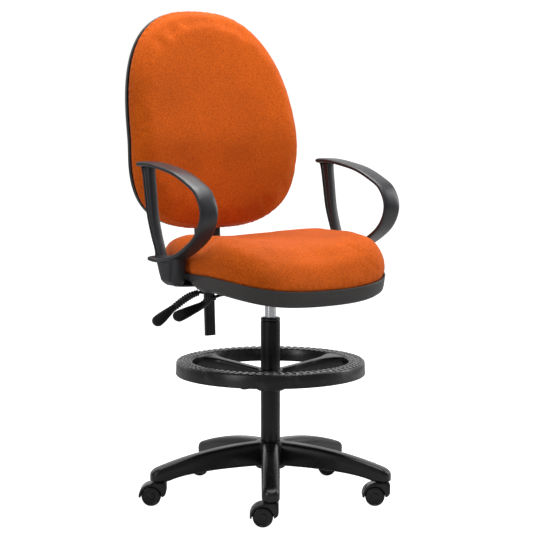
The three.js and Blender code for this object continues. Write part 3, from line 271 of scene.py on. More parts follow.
def pebble_group():
    """Height of a pebbled skin: the distance to the nearest of many small cells, softened by noise."""
    group, given, result = new_group("pebble", {"Scale": 900.0}, "Height")
    kind = {"feature": "SMOOTH_F1"}
    cells = put(group, "ShaderNodeTexVoronoi", kind, Vector=given[0], Scale=given[1], Smoothness=0.6)
    finer = noise(group, given[0], calc(group, "MULTIPLY", given[1], 0.45), 2.0)
    height = calc(group, "ADD", cells.outputs["Distance"], finer)
    plug(group, calc(group, "MULTIPLY", height, 0.5), result)
    return group


def rub_group():
    """A mask of rubbed patches: noise past a limit, kept where the face looks upwards."""
    group, given, result = new_group("rub", {"Scale": 30.0, "Amount": 0.5}, "Mask")
    patches = noise(group, given[0], given[1], 6.0, 0.7)
    mask = span(group, patches, 0.52, 0.7, 0, 1)
    normal = put(group, "ShaderNodeNewGeometry").outputs["Normal"]
    upward = span(group, split(group, normal)["Z"], 0.0, 0.9, 0.15, 1.0)
    mask = calc(group, "MULTIPLY", mask, upward)
    plug(group, calc(group, "MULTIPLY", mask, given[2]), result)
    return group


CLOUD = cloud_group()
PEBBLE = pebble_group()
RUB = rub_group()
print("groups:", CLOUD.name, PEBBLE.name, RUB.name)


# %% The weave group
def weave_group():
    """Height of a plain weave: sin(u) sin(v) on three planes, each counted by how a face looks at it."""
    group, given, result = new_group("weave", {"Thread": 0.0016}, "Height")
    wobble = put(group, "ShaderNodeTexNoise", Vector=given[0], Scale=60.0, Detail=2.0)
    offset = vector_calc(group, "SCALE", wobble.outputs["Color"], Scale=0.0025)
    place = split(group, vector_calc(group, "ADD", given[0], _1=offset))
    turn = calc(group, "DIVIDE", math.pi, given[1])
    waves = [calc(group, "SINE", calc(group, "MULTIPLY", place[i], turn)) for i in range(3)]
    normal = put(group, "ShaderNodeNewGeometry").outputs["Normal"]
    facing = split(group, vector_calc(group, "ABSOLUTE", normal))
    total = 0.0
    for plane, (first, second) in enumerate(((1, 2), (0, 2), (0, 1))):
        crossing = calc(group, "MULTIPLY", waves[first], waves[second])
        share = calc(group, "POWER", facing[plane], 2.0)
        total = calc(group, "ADD", calc(group, "MULTIPLY", crossing, share), total)
    plug(group, span(group, total, -1, 1, 0, 1), result)
    return group


WEAVE = weave_group()
print("group:", WEAVE.name)

# %% [markdown]
# ## The finishes
#
# The upholstery is a hard-wearing crepe cloth in orange: warm yarns with darker and lighter flecks,
# a dull surface and a fine pile that catches light along the edge of the cushion. The plastics are
# near black or dark grey with a satin mould grain. Bars and the column are powder coated, the gas
# cylinder is polished chrome, and the small fittings are zinc plated.


# %% Upholstery cloth
def start_material(name):
    """A material with only its Principled shader, and the Object coordinates to build on."""
    made = bpy.data.materials.new(name)
    made.use_nodes = True
    tree = made.node_tree
    here = tree.nodes.new("ShaderNodeTexCoord").outputs["Object"]
    return made, tree, tree.nodes["Principled BSDF"], here


def effect(tree, group, **sockets):
    """Places a shared group in a material; returns its only output."""
    return put(tree, "ShaderNodeGroup", {"node_tree": group}, **sockets).outputs[0]


FLECKS, YARNS = 290.0, 620.0  # scales of the two noises in the cloth
THREAD = 0.0017


def cloth(name, dark, mid, light):
    """Flecked cloth: three yarn colours chosen by two scales of noise, and a woven height."""
    made, tree, shader, here = start_material(name)
    fleck = noise(tree, here, FLECKS, 4.0, 0.75)
    yarn = noise(tree, here, YARNS, 2.0, 0.6)
    body = blend_colours(tree, span(tree, fleck, 0.38, 0.56, 0, 1), dark, mid)
    body = blend_colours(tree, span(tree, yarn, 0.52, 0.7, 0, 0.6), body, light)
    shade = span(tree, effect(tree, CLOUD, Vector=here, Scale=7.0), 0, 1, 0.86, 1.08)
    weave = effect(tree, WEAVE, Vector=here, Thread=THREAD)
    height = calc(tree, "ADD", calc(tree, "MULTIPLY", fleck, 1.4), weave)
    fill(
        tree, shader, Base_Color=vector_calc(tree, "SCALE", body, Scale=shade),
        Roughness=span(tree, fleck, 0.3, 0.7, 0.82, 0.97), Normal=relief(tree, height, 0.7, 0.0006),
        Sheen_Weight=0.2, Sheen_Roughness=0.4, Sheen_Tint=(1.0, 0.52, 0.42, 1), Specular_IOR_Level=0.1,
    )
    return made


# %% Moulded, painted and bare finishes
def darker(colour, share):
    """A colour with its three channels scaled."""
    return tuple(channel * share for channel in colour[:3]) + (1,)


def moulded(name, colour, paler_colour, roughness, pebble=1100.0, depth=0.00012, scuff=0.5, level=0.3):
    """Satin plastic or powder coat: one colour with slow clouding, mould grain and rubbed patches."""
    made, tree, shader, here = start_material(name)
    slow = effect(tree, CLOUD, Vector=here, Scale=14.0)
    rubbed = effect(tree, RUB, Vector=here, Scale=26.0, Amount=scuff)
    base = blend_colours(tree, slow, darker(colour, 0.86), colour)
    base = blend_colours(tree, calc(tree, "MULTIPLY", rubbed, 0.45), base, paler_colour)
    rough = span(tree, slow, 0, 1, roughness - 0.05, roughness + 0.05)
    rough = calc(tree, "ADD", rough, calc(tree, "MULTIPLY", rubbed, 0.12))
    grain = relief(tree, effect(tree, PEBBLE, Vector=here, Scale=pebble), 0.5, depth)
    fill(tree, shader, Base_Color=base, Roughness=rough, Normal=grain, Specular_IOR_Level=level)
    return made


def crest_highlight_and_wear(name, height, colour, paler_colour):
    """The black plastic again, with a painted highlight: its highest faces, the stud crests, are painted
    paler above a height, and the same pale colour marks its rubbed patches.
    """
    made = moulded(name, colour, paler_colour, 0.3, level=0.5)
    tree = made.node_tree
    base = tree.nodes["Principled BSDF"].inputs["Base Color"]
    here = tree.nodes.new("ShaderNodeTexCoord").outputs["Object"]
    crest = span(tree, split(tree, here)["Z"], height - 0.0005, height, 0, 1)
    patchy = span(tree, effect(tree, CLOUD, Vector=here, Scale=60.0), 0, 1, 0.35, 1.0)
    share = calc(tree, "MULTIPLY", crest, patchy)
    plug(tree, blend_colours(tree, share, base.links[0].from_socket, paler_colour), base)
    return made


def metal(name, colour, roughness, streaks):
    """Bare metal: noise drawn out along the height, which leaves fine polishing lines."""
    made, tree, shader, here = start_material(name)
    drawn = put(tree, "ShaderNodeMapping", Vector=here, Scale=streaks).outputs[0]
    lines = noise(tree, drawn, 1.0, 4.0)
    slow = effect(tree, CLOUD, Vector=here, Scale=20.0)
    fill(
        tree, shader, Base_Color=blend_colours(tree, slow, darker(colour, 0.88), colour), Metallic=1.0,
        Roughness=span(tree, lines, 0.3, 0.7, roughness * 0.8, roughness * 1.35),
        Normal=relief(tree, lines, 0.3, 0.00003),
    )
    return made


PLY = 0.0024  # from one glue line to the next


def plywood(name):
    """Birch plywood: thin dark glue lines between paler veneers, with streaked grain."""
    made, tree, shader, here = start_material(name)
    drawn = put(tree, "ShaderNodeMapping", Vector=here, Scale=(6.0, 60.0, 60.0)).outputs[0]
    grain = span(tree, noise(tree, drawn, 3.0, 5.0), 0.35, 0.65, 0, 1)
    plies = calc(tree, "SINE", calc(tree, "MULTIPLY", split(tree, here)["Z"], 2 * math.pi / PLY))
    colour = blend_colours(tree, grain, (0.42, 0.25, 0.11, 1), (0.62, 0.42, 0.22, 1))
    colour = blend_colours(tree, span(tree, plies, 0.7, 1, 0, 0.5), colour, (0.2, 0.1, 0.04, 1))
    fill(tree, shader, Base_Color=colour, Roughness=0.65)
    return made


# %% Give every CAD node its finish
ORANGE = (0.40, 0.056, 0.002, 1), (0.62, 0.105, 0.004, 1), (0.80, 0.185, 0.026, 1)
NYLON = (0.004, 0.004, 0.005, 1), (0.018, 0.018, 0.019, 1)  # the new colour, then the worn one
SOFT = (0.006, 0.006, 0.007, 1), (0.02, 0.02, 0.021, 1)
SHELL = (0.040, 0.037, 0.036, 1), (0.06, 0.056, 0.055, 1)
ARM = (0.019, 0.019, 0.023, 1), (0.04, 0.04, 0.047, 1)
POWDER = (0.003, 0.003, 0.004, 1), (0.012, 0.012, 0.013, 1)
# pale colour for the footring: a painted highlight on the stud crests, and the wear colour of its rubbed
# patches
TREAD_HIGHLIGHT_AND_WEAR = (0.46, 0.46, 0.44, 1)
FINISHES = {
    "fabric_orange": cloth("fabric_orange", *ORANGE),
    "nylon_black": moulded("nylon_black", *NYLON, 0.3, scuff=0.15, level=0.42),
    "soft_black": moulded("soft_black", *SOFT, 0.34, level=0.4),
    "shell_grey": moulded("shell_grey", *SHELL, 0.44, scuff=0.2),
    "arm_grey": moulded("arm_grey", *ARM, 0.36, scuff=0.3, level=0.45),
    "black_steel": moulded("black_steel", *POWDER, 0.3, 700.0, 0.00006),
    "chrome": metal("chrome", (0.92, 0.94, 0.97, 1), 0.2, (900.0, 900.0, 8.0)),
    "steel": metal("steel", (0.46, 0.47, 0.48, 1), 0.34, (300.0, 300.0, 40.0)),
    "plywood": plywood("plywood"),
}
for part in frame["record"]["subparts"]:
    target = frame["nodes"][part["node"]]
    target.data.materials.clear()
    target.data.materials.append(FINISHES[part["material_slot"]])
print(len(FINISHES), "finishes on", len(frame["nodes"]), "CAD nodes")

# %% [markdown]
# ## Surfaces from grids
#
# Nearly every new piece is a closed tube of rings: a section carried along a line, or a profile
# turned round an axis. A ring is a row of points, neighbouring rings are joined by four-sided faces,
# and the two ends are closed by a fan. The helpers below turn such rings into a finished object that
# rides on its body.


# %% Ring helpers
def around(count):
    """Angles once round a ring, as a row."""
    return np.linspace(0, 2 * np.pi, count, endpoint=False)[None, :]


def column(values):
    """Numbers as a column, one for each ring."""
    return np.asarray(values, float).reshape(-1, 1)


def rings_of(x, y, z):
    """Rings of points from three arrays of coordinates, spread to one shape."""
    return np.stack(np.broadcast_arrays(x, y, z), axis=-1)


def shifted(line, up, across=0):
    """A profile of points (across, up), shifted."""
    return np.asarray(line, float) + (across, up)


def evenly(first, count):
    """Angles spread evenly round the column."""
    return [first + k * 2 * math.pi / count for k in range(count)]


def ring_faces(rings, sides, loop=False):
    """Quads between neighbouring rings of a grid; loop joins the last ring to the first as well."""
    i, j = np.meshgrid(np.arange(rings if loop else rings - 1), np.arange(sides), indexing="ij")
    after, beside = (i + 1) % rings, (j + 1) % sides
    quads = [i * sides + j, i * sides + beside, after * sides + beside, after * sides + j]
    return np.stack(quads, axis=-1).reshape(-1, 4)


def tube(rings):
    """A closed solid from rings of shape (n, m, 3): quads between the rings, a fan at each end."""
    n, m, _ = rings.shape
    points = np.vstack([rings.reshape(-1, 3), rings[0].mean(0), rings[-1].mean(0)])
    j = np.arange(m)
    first = np.stack([(j + 1) % m, j, np.full(m, n * m)], axis=-1)
    last = np.stack([(n - 1) * m + j, (n - 1) * m + (j + 1) % m, np.full(m, n * m + 1)], axis=-1)
    return points, [ring_faces(n, m), np.vstack([first, last])]


def torus(rings):
    """A closed solid from rings that come back to the first one."""
    n, m, _ = rings.shape
    return rings.reshape(-1, 3), [ring_faces(n, m, loop=True)]


def smooth_line(points, count):
    """Catmull-Rom: each stretch leaves and meets its points in the direction of their neighbours."""
    p = np.asarray(points, float)
    p = np.vstack([2 * p[0] - p[1], p, 2 * p[-1] - p[-2]])
    t = np.linspace(0, len(points) - 1, count)
    i = np.minimum(t.astype(int), len(points) - 2)
    u = (t - i)[:, None]
    a, b, c, d = p[i], p[i + 1], p[i + 2], p[i + 3]
    cubic = (3 * (b - c) + d - a) * u**3 + (2 * a - 5 * b + 4 * c - d) * u**2 + (c - a) * u + 2 * b
    return cubic / 2


def ease(value, low=0.0, high=1.0):
    """0 below low, 1 above high, and 3t^2 - 2t^3 between them."""
    t = np.clip((np.asarray(value, float) - low) / (high - low), 0, 1)
    return t * t * (3 - 2 * t)


def oval(half_width, half_height, power, count):
    """Points of |x/a|^p + |y/b|^p = 1, one row for each pair of half sizes."""
    c, s = np.cos(around(count)), np.sin(around(count))
    a, b, p = column(half_width), column(half_height), column(power)
    return a * np.sign(c) * np.abs(c) ** (2 / p), b * np.sign(s) * np.abs(s) ** (2 / p)


def carried(line, across, x, y):
    """Sections carried along a line: x goes along the fixed direction across, y square to both."""
    along = np.gradient(line, axis=0)
    along /= np.linalg.norm(along, axis=1)[:, None]
    up = np.cross(along, across)
    up /= np.linalg.norm(up, axis=1)[:, None]
    return line[:, None, :] + x[..., None] * np.asarray(across, float) + y[..., None] * up[:, None, :]


def turned(profile, sides, place=(0, 0, 0), axis=(0, 0, 1)):
    """Rings of a profile of (radius, distance along the axis) turned about an axis through a place."""
    axis = np.asarray(axis, float) / np.linalg.norm(axis)
    helper = np.array([1.0, 0, 0]) if abs(axis[0]) < 0.9 else np.array([0, 1.0, 0])
    u = np.cross(axis, helper)
    u /= np.linalg.norm(u)
    v = np.cross(axis, u)
    angle = around(sides)[..., None]
    profile = np.asarray(profile, float)
    radius, height = profile[:, 0, None, None], profile[:, 1, None, None]
    return np.asarray(place, float) + radius * (np.cos(angle) * u + np.sin(angle) * v) + height * axis


def rounded(profile, radius=1.5, steps=4):
    """Softens each inner corner of an open profile: the corner point is replaced by a small arc."""
    p = np.asarray(profile, float)
    result = [p[0]]
    for before, corner, after in zip(p[:-2], p[1:-1], p[2:]):
        back, ahead = before - corner, after - corner
        far, near = np.linalg.norm(back), np.linalg.norm(ahead)
        cut = min(radius, 0.45 * far, 0.45 * near)
        start = corner + back / max(far, 1e-9) * cut
        end = corner + ahead / max(near, 1e-9) * cut
        t = np.linspace(0, 1, steps)[:, None]
        result.extend((1 - t) ** 2 * start + 2 * t * (1 - t) * corner + t**2 * end)
    result.append(p[-1])
    return np.array(result)


# %% From rings to a riding piece
made_pieces = []


def mesh_from(name, parts):
    """One mesh from several solids, given in millimetres from the column's axis."""
    mesh = bpy.data.meshes.new(name)
    points = np.vstack([p for p, _ in parts]) * MM + AXIS
    faces, start = [], 0
    for p, groups in parts:
        for group in groups:
            faces.extend((np.asarray(group) + start).tolist())
        start += len(p)
    mesh.from_pydata(points, [], faces)
    return mesh


def tidy_normals(mesh, join=0.0):
    """Merges points closer than join and turns every face of a closed solid outwards."""
    work = bmesh.new()
    work.from_mesh(mesh)
    if join:
        bmesh.ops.remove_doubles(work, verts=work.verts, dist=join)
    bmesh.ops.recalc_face_normals(work, faces=work.faces)
    work.to_mesh(mesh)
    work.free()


def place_piece(name, mesh, body, slot, nodes=(), sharp=38.0):
    """Links a mesh as a piece: its finish, its body, and the CAD nodes that it stands for."""
    mesh.shade_smooth()
    mesh.set_sharp_from_angle(angle=math.radians(sharp))
    mesh.materials.clear()
    mesh.materials.append(FINISHES[slot])
    piece = bpy.data.objects.new(name, mesh)
    link(piece)
    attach(piece, body)
    if nodes:
        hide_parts(*nodes)
    made_pieces.append(name)
    return piece


def solid_piece(name, parts, body, slot, nodes=(), sharp=38.0):
    """A piece made of closed solids."""
    mesh = mesh_from(name, parts)
    tidy_normals(mesh)
    return place_piece(name, mesh, body, slot, nodes, sharp)


def softened_copy(name, node, body, width):
    """A CAD node's own shape with its hard edges rounded by a bevel, as a casting or pressing has."""
    mesh = frame["nodes"][node].data.copy()
    tidy_normals(mesh, join=1e-6)
    slot = next(p["material_slot"] for p in frame["record"]["subparts"] if p["node"] == node)
    piece = place_piece(name, mesh, body, slot, (node,))
    bevel = piece.modifiers.new("rounded_edges", "BEVEL")
    bevel.width = width * MM
    bevel.segments = 3
    bevel.limit_method = "ANGLE"
    bevel.angle_limit = math.radians(32)
    bevel.harden_normals = True


print("ring helpers ready")

# %% [markdown]
# ## The seat's outline
#
# The seat is a rounded shape between a square and an oval: squarer at the front edge, rounder
# behind. In the middle of its front edge it falls away, to spare the backs of the knees. Shell and
# cushion share this outline, so both are drawn by the same function: a share of the way from the
# middle to the rim, an angle, and a height.

# %% Seat form
SHELL_LOW, SHELL_HIGH = millimetres("seat_shell")
SEAT_HALF_WIDTH = (SHELL_HIGH[0] - SHELL_LOW[0]) / 2
SEAT_MIDDLE_Y = (SHELL_HIGH[1] + SHELL_LOW[1]) / 2
SEAT_HALF_DEPTH = (SHELL_HIGH[1] - SHELL_LOW[1]) / 2
SEAT_FRONT = -SHELL_LOW[1]
SEAT_RIM = SHELL_HIGH[2]
SEAT_DIP = 38.0
SEAT_DIP_START = 70.0
SEAT_DIP_POWER = 1.7
SEAT_DIP_SIDES = 0.45  # how much of the dip is missing at the sides
SEAT_FRONT_POWER = 4.0
SEAT_REAR_POWER = 2.9
SEAT_CROWN = 74.0
SEAT_BOLSTER = 20.0


def reach(across, along, half_across, half_along, power):
    """How far an oval of that power reaches in a direction."""
    return (np.abs(across / half_across) ** power + np.abs(along / half_along) ** power) ** (-1 / power)


def seat_reach(angle):
    """The distance from the seat's middle to its rim."""
    forward = -np.sin(angle)
    share = np.clip(0.5 + forward / 0.8, 0, 1)
    power = SEAT_REAR_POWER + (SEAT_FRONT_POWER - SEAT_REAR_POWER) * share
    return reach(np.cos(angle), forward, SEAT_HALF_WIDTH, SEAT_HALF_DEPTH, power)


def seat_dip(x, y):
    """The fall towards the front edge, deepest in its middle."""
    along = np.clip((-y - SEAT_DIP_START) / (SEAT_FRONT - SEAT_DIP_START), 0, 1)
    return -SEAT_DIP * along**SEAT_DIP_POWER * (1 - SEAT_DIP_SIDES * (x / SEAT_HALF_WIDTH) ** 2)


def seat_form(share, height, sides, start=None, extra=None):
    """Rings round the seat: points at a share of the outline, lifted by a height plus the dip."""
    angle = around(sides)
    radius = column(share) * seat_reach(angle)
    if start is not None:
        radius = np.maximum(radius, start(angle))
    x, y = radius * np.cos(angle), SEAT_MIDDLE_Y + radius * np.sin(angle)
    z = column(height) + seat_dip(x, y)
    if extra is not None:
        z = z + extra(x, y, z)
    return rings_of(x, y, z)


print("seat", round(2 * SEAT_HALF_WIDTH), "x", round(2 * SEAT_HALF_DEPTH), "mm")

# %% [markdown]
# ## The seat shell
#
# Under the cushion lies a thin injection-moulded tray that hides the plywood. It has a narrow step
# above its lower edge, where two halves of the mould met, a rounded lip under the cloth and an
# opening for the mechanism. The wall is one closed band: up the outside, over the lip and down again
# on the inside.

# %% Mould the seat shell
SHELL_FLOOR = 549.0
OPENING_HALF = 98.0
OPENING_REAR = 187.0  # how far the opening reaches behind the seat's middle
OPENING_FRONT = 58.0
OPENING_POWER = 8
SHELL_SAG = 0.16  # the share of the dip that is added to the tray's lower part
NOTCH_MIDDLE = 25.0  # where the arm brackets pass under the tray
NOTCH_HALF = 24.0, 60.0  # half its length where it is full, and where it ends
NOTCH_SIDE = 190.0, 225.0  # where it begins beside the middle, and where it is full
NOTCH_LIFT = 17.0


def opening_reach(angle):
    """The distance from the seat's middle to the rounded opening for the mechanism."""
    depth = np.where(np.sin(angle) > 0, OPENING_REAR, OPENING_FRONT)
    return reach(np.cos(angle), np.sin(angle), OPENING_HALF, depth, OPENING_POWER)


shell_line = np.vstack(
    [
        shifted([(0, 0), (0.5, 0), (0.86, 0), (0.925, 1.5), (0.957, 5.5), (0.969, 9.5)], SHELL_FLOOR),
        shifted([(0.974, 10.2), (0.980, 11), (0.988, 20)], SHELL_FLOOR),
        shifted([(0.997, -4), (1, -1.5), (0.998, -0.2), (0.990, -0.2), (0.986, -4)], SEAT_RIM),
        shifted([(0.975, 20), (0.95, 9), (0.9, 4), (0.5, 3), (0, 3)], SHELL_FLOOR),
    ]
)


def shell_sag(x, y, z):
    """The tray's lower edge: a little deeper in front, and lifted where the arm brackets pass."""
    fall = np.where(z < SEAT_RIM - 20 + seat_dip(x, y), SHELL_SAG * seat_dip(x, y), 0)
    low = 1 - ease(z, SHELL_FLOOR + 6, SEAT_RIM - 6)
    notch = (1 - ease(np.abs(y - NOTCH_MIDDLE), *NOTCH_HALF)) * ease(np.abs(x), *NOTCH_SIDE)
    return fall + NOTCH_LIFT * notch * low


tray = seat_form(*shell_line.T, 180, opening_reach, shell_sag)
solid_piece("seat_tray", [torus(tray)], "seat", "shell_grey", ("seat_shell",), sharp=30)
print("tray rings", tray.shape[0])

# %% [markdown]
# ## Stuffing the cushions
#
# A moulded foam pad is covered with cloth that is pulled tight and stapled under the board. The
# cloth bridges hollows, swells over the bolsters and gathers where it turns round the edge. To get
# that, a slightly smaller pad is remeshed into even squares, held where it is stapled, and blown up
# as cloth under pressure. How far a point may move is capped, so the pad keeps its size.

# %% The stuffing recipe
VOXEL = 5.5
FRAMES = 20
PRESSURE = 4.0
PAD_SHRINK = 3.0  # how much smaller the pad is made before it is blown up


def even_mesh(name, part):
    """The solid remeshed into squares of one size; returns the mesh."""
    mesh = mesh_from(name, [part])
    tidy_normals(mesh)
    carrier = bpy.data.objects.new(name + "_carrier", mesh)
    link(carrier)
    remesh = carrier.modifiers.new("squares", "REMESH")
    remesh.mode = "VOXEL"
    remesh.voxel_size = VOXEL * MM
    bpy.context.view_layer.update()
    shown = carrier.evaluated_get(bpy.context.evaluated_depsgraph_get())
    result = bpy.data.meshes.new_from_object(shown)
    bpy.data.objects.remove(carrier)
    return result


def coordinates(mesh):
    """A mesh's points as an array in millimetres from the column's axis."""
    flat = np.zeros(len(mesh.vertices) * 3)
    mesh.vertices.foreach_get("co", flat)
    return (flat.reshape(-1, 3) - AXIS) / MM


def move_points(mesh, points):
    """Puts an array of points, in millimetres from the axis, back into the mesh."""
    mesh.vertices.foreach_set("co", (points * MM + AXIS).ravel())
    mesh.update()


def normals_of(mesh):
    """A mesh's point normals as an array."""
    flat = np.zeros(len(mesh.vertices) * 3)
    mesh.vertex_normals.foreach_get("vector", flat)
    return flat.reshape(-1, 3)


def blown_up(name, mesh, held, cap):
    """Cloth under pressure for some frames; each point then moves by at most cap from its start."""
    start = coordinates(mesh)
    carrier = bpy.data.objects.new(name + "_cloth", mesh)
    link(carrier)
    pins = carrier.vertex_groups.new(name="held")
    pins.add(np.flatnonzero(held).tolist(), 1.0, "REPLACE")
    cloth_sim = carrier.modifiers.new("cloth", "CLOTH")
    rules = cloth_sim.settings
    rules.quality = 4
    rules.mass = 0.3
    rules.tension_stiffness = 18
    rules.compression_stiffness = 18
    rules.shear_stiffness = 8
    rules.bending_stiffness = 0.6
    rules.air_damping = 3
    rules.vertex_group_mass = "held"
    rules.use_pressure = True
    rules.uniform_pressure_force = PRESSURE
    rules.effector_weights.gravity = 0
    for number in range(1, FRAMES + 1):
        scene.frame_set(number)
    shown = carrier.evaluated_get(bpy.context.evaluated_depsgraph_get())
    swollen = coordinates(shown.to_mesh())
    scene.frame_set(1)
    bpy.data.objects.remove(carrier)
    step = swollen - start
    length = np.linalg.norm(step, axis=1)[:, None]
    return start + step * np.minimum(1, cap[:, None] / np.maximum(length, 1e-9))


def relaxed(mesh, points, free, rounds):
    """Each free point moves half way to the mean of its neighbours, a number of times."""
    flat = np.zeros(len(mesh.edges) * 2, np.int32)
    mesh.edges.foreach_get("vertices", flat)
    a, b = flat.reshape(-1, 2).T
    count = np.bincount(a, minlength=len(points)) + np.bincount(b, minlength=len(points))
    for _ in range(rounds):
        total = np.zeros_like(points)
        np.add.at(total, a, points[b])
        np.add.at(total, b, points[a])
        points = points + 0.5 * free[:, None] * (total / count[:, None] - points)
    return points


def ripples(angle, seed, low, high, count):
    """A sum of sine waves round the rim, with lengths and phases drawn from a fixed seed."""
    draw = np.random.default_rng(seed)
    turns = draw.integers(low, high, count)
    phases = draw.uniform(0, 2 * np.pi, count)
    waves = np.sin(angle[:, None] * turns[None, :] + phases[None, :])
    return waves.sum(1) / math.sqrt(count)


def stuffed(name, pad, rise_of, turn_of, fade, cap, settle, rounds, gather, waves):
    """The stuffed cover of a pad, as a mesh.

    rise_of says how far each point stands clear of the rim, and turn_of where it lies round the rim.
    Over the rise of fade the cover comes free, by at most cap; over settle it is smoothed. Gathers
    have a rise, a spread and a height, and waves are their seed, lowest and highest turns and count.
    """
    mesh = even_mesh(name, pad)
    points = coordinates(mesh)
    rise = rise_of(points)
    free = ease(rise, *fade)
    points = points - normals_of(mesh) * (PAD_SHRINK * free)[:, None]
    move_points(mesh, points)
    normals = normals_of(mesh)
    points = blown_up(name, mesh.copy(), rise < fade[0] + 1, cap[0] + cap[1] * free)
    points = relaxed(mesh, points, ease(rise, *settle), rounds)
    middle, spread, height = gather
    swell = height * np.exp(-(((rise - middle) / spread) ** 2))
    points += normals * (swell * ripples(turn_of(points), *waves))[:, None]
    move_points(mesh, points)
    return mesh


def refined(piece):
    """Smooths a cover's squares by one subdivision."""
    finer = piece.modifiers.new("finer", "SUBSURF")
    finer.levels = finer.render_levels = 1


print("voxel", VOXEL, "mm,", FRAMES, "frames")

# %% [markdown]
# ## The seat cushion
#
# The cushion has two low bolsters along its sides, a shallow bowl between them and a rounded
# waterfall front. The cloth turns under just above the tray, where it gathers into small puckers.

# %% Stuff the seat cushion
CLOSING = 0.002  # the share of the outline where a pad's rings close
BOLSTER_X = 215.0  # where the bolsters reach their height
BOLSTER_POWER = 2.5
BOLSTER_FADE = 0.55  # how much of their height is gone at the rear
BOLSTER_REAR = 60.0, 250.0  # where they begin and cease to fall away
SEAT_BOWL = 6.0


def seat_contour(x, y, z):
    """Side bolsters and a low middle, faded in with the height above the rim."""
    height = np.clip((z - SEAT_RIM - seat_dip(x, y)) / SEAT_CROWN, 0, 1)
    side = np.clip(np.abs(x) / BOLSTER_X, 0, 1)
    rear = np.clip((y - BOLSTER_REAR[0]) / (BOLSTER_REAR[1] - BOLSTER_REAR[0]), 0, 1)
    bolster = SEAT_BOLSTER * (1 - BOLSTER_FADE * rear) * side**BOLSTER_POWER
    return height * (bolster - SEAT_BOWL * (1 - side))


def seat_rise(points):
    """How far points stand above the tray's rim, with the dip taken out."""
    return points[:, 2] - seat_dip(points[:, 0], points[:, 1]) - SEAT_RIM


def seat_turn(points):
    """Where points lie round the seat, as an angle."""
    return np.arctan2(points[:, 1] - SEAT_MIDDLE_Y, points[:, 0])


CUSHION_TOP = SEAT_RIM + SEAT_CROWN
CUSHION_FOOT = 581.0
seat_line = np.vstack(
    [
        shifted([(0, 0), (0.5, 0), (0.93, 0)], CUSHION_FOOT),
        shifted([(0.958, -5), (0.985, 2), (1.008, 12), (1.010, 25), (0.978, 43)], SEAT_RIM),
        shifted([(0.912, -10), (0.8, -2), (0.62, 0), (0.4, 0), (0.2, 0), (0, 0)], CUSHION_TOP),
    ]
)
share, height = smooth_line(seat_line, 90).T
seat_pad = tube(seat_form(np.maximum(share, CLOSING), height, 150, extra=seat_contour))
seat_mesh = stuffed(
    "seat_pad", seat_pad, seat_rise, seat_turn, fade=(2, 22), cap=(2, 5.5), settle=(0, 10), rounds=6,
    gather=(9, 9, 0.7), waves=(3, 60, 150, 9),
)
seat_cushion = place_piece(
    "seat_upholstery", seat_mesh, "seat", "fabric_orange", ("seat_cushion",), sharp=180
)
refined(seat_cushion)
print("seat cushion points:", len(seat_mesh.vertices))

# %% [markdown]
# ## The back's outline
#
# The back is an upright oval, broader low down, that leans away from the sitter above the shoulder
# blades. As with the seat, one function draws both the pad and the shell behind it: a share of the
# outline, an angle, and a depth ahead of the rim.

# %% Back form
BACK_LOW, BACK_HIGH = millimetres("back_cushion")
BACK_HALF_WIDTH = (BACK_HIGH[0] - BACK_LOW[0]) / 2
BACK_WIDEST = 895.0
BACK_UP = BACK_HIGH[2] - BACK_WIDEST
BACK_DOWN = BACK_WIDEST - BACK_LOW[2]
BACK_UP_POWER = 2.58
BACK_DOWN_POWER = 2.8
BACK_Y = 267.0
BACK_LEAN = 0.25
BACK_LEAN_SOFTNESS = 50.0
BACK_WRAP = 0.0002
BACK_PAD = 50.0
BOARD_DEPTH = 5.0


def back_reach(angle):
    """The distance from the back's widest line to its rim."""
    up = np.sin(angle)
    rise = np.where(up >= 0, BACK_UP, BACK_DOWN)
    power = BACK_DOWN_POWER + (BACK_UP_POWER - BACK_DOWN_POWER) * np.clip(0.5 + up, 0, 1)
    return reach(np.cos(angle), up, BACK_HALF_WIDTH, rise, power)


def back_plane(x, z):
    """The depth of the rim: upright below the widest line, leaning back above it."""
    rise = np.maximum(z - BACK_WIDEST, 0)
    return BACK_Y + BACK_LEAN * rise**2 / (rise + BACK_LEAN_SOFTNESS) - BACK_WRAP * x**2


def back_form(share, depth, sides):
    """Rings round the back: points at a share of the outline, a depth ahead of the rim."""
    angle = around(sides)
    radius = column(share) * back_reach(angle)
    x, z = radius * np.cos(angle), BACK_WIDEST + radius * np.sin(angle)
    return rings_of(x, back_plane(x, z) - column(depth), z)


print("back", round(2 * BACK_HALF_WIDTH), "x", round(BACK_UP + BACK_DOWN), "mm")

# %% [markdown]
# ## The back cushion and its shell
#
# The cloth of the back is drawn over the pad and round the edge of its board, and short gathers show
# along the rim. Behind it sits a deep moulded shell whose lip shows as a dark line beside the cloth.

# %% Stuff the back cushion
PAD_FOOT = -BOARD_DEPTH + 1


def back_rise(points):
    """How far points stand ahead of the rim."""
    return back_plane(points[:, 0], points[:, 2]) - points[:, 1]


def back_turn(points):
    """Where points lie round the back, as an angle."""
    return np.arctan2(points[:, 2] - BACK_WIDEST, points[:, 0])


pad_line = np.vstack(
    [
        shifted([(0, 0), (0.5, 0), (0.93, 0), (0.975, 1), (0.995, 10), (1, 20), (0.995, 32)], PAD_FOOT),
        shifted([(0.97, -9), (0.9, -2.5), (0.75, 0), (0.5, 0), (0.25, 0), (0, 0)], BACK_PAD),
    ]
)
share, depth = smooth_line(pad_line, 80).T
back_pad = tube(back_form(np.maximum(share, CLOSING), depth, 160))
back_mesh = stuffed(
    "back_pad", back_pad, back_rise, back_turn, fade=(6, 26), cap=(1.5, 5), settle=(2, 12), rounds=5,
    gather=(10, 8, 1), waves=(5, 60, 130, 9),
)
back_cushion = place_piece(
    "back_upholstery", back_mesh, "back", "fabric_orange", ("back_cushion",), sharp=180
)
refined(back_cushion)
print("back cushion points:", len(back_mesh.vertices))

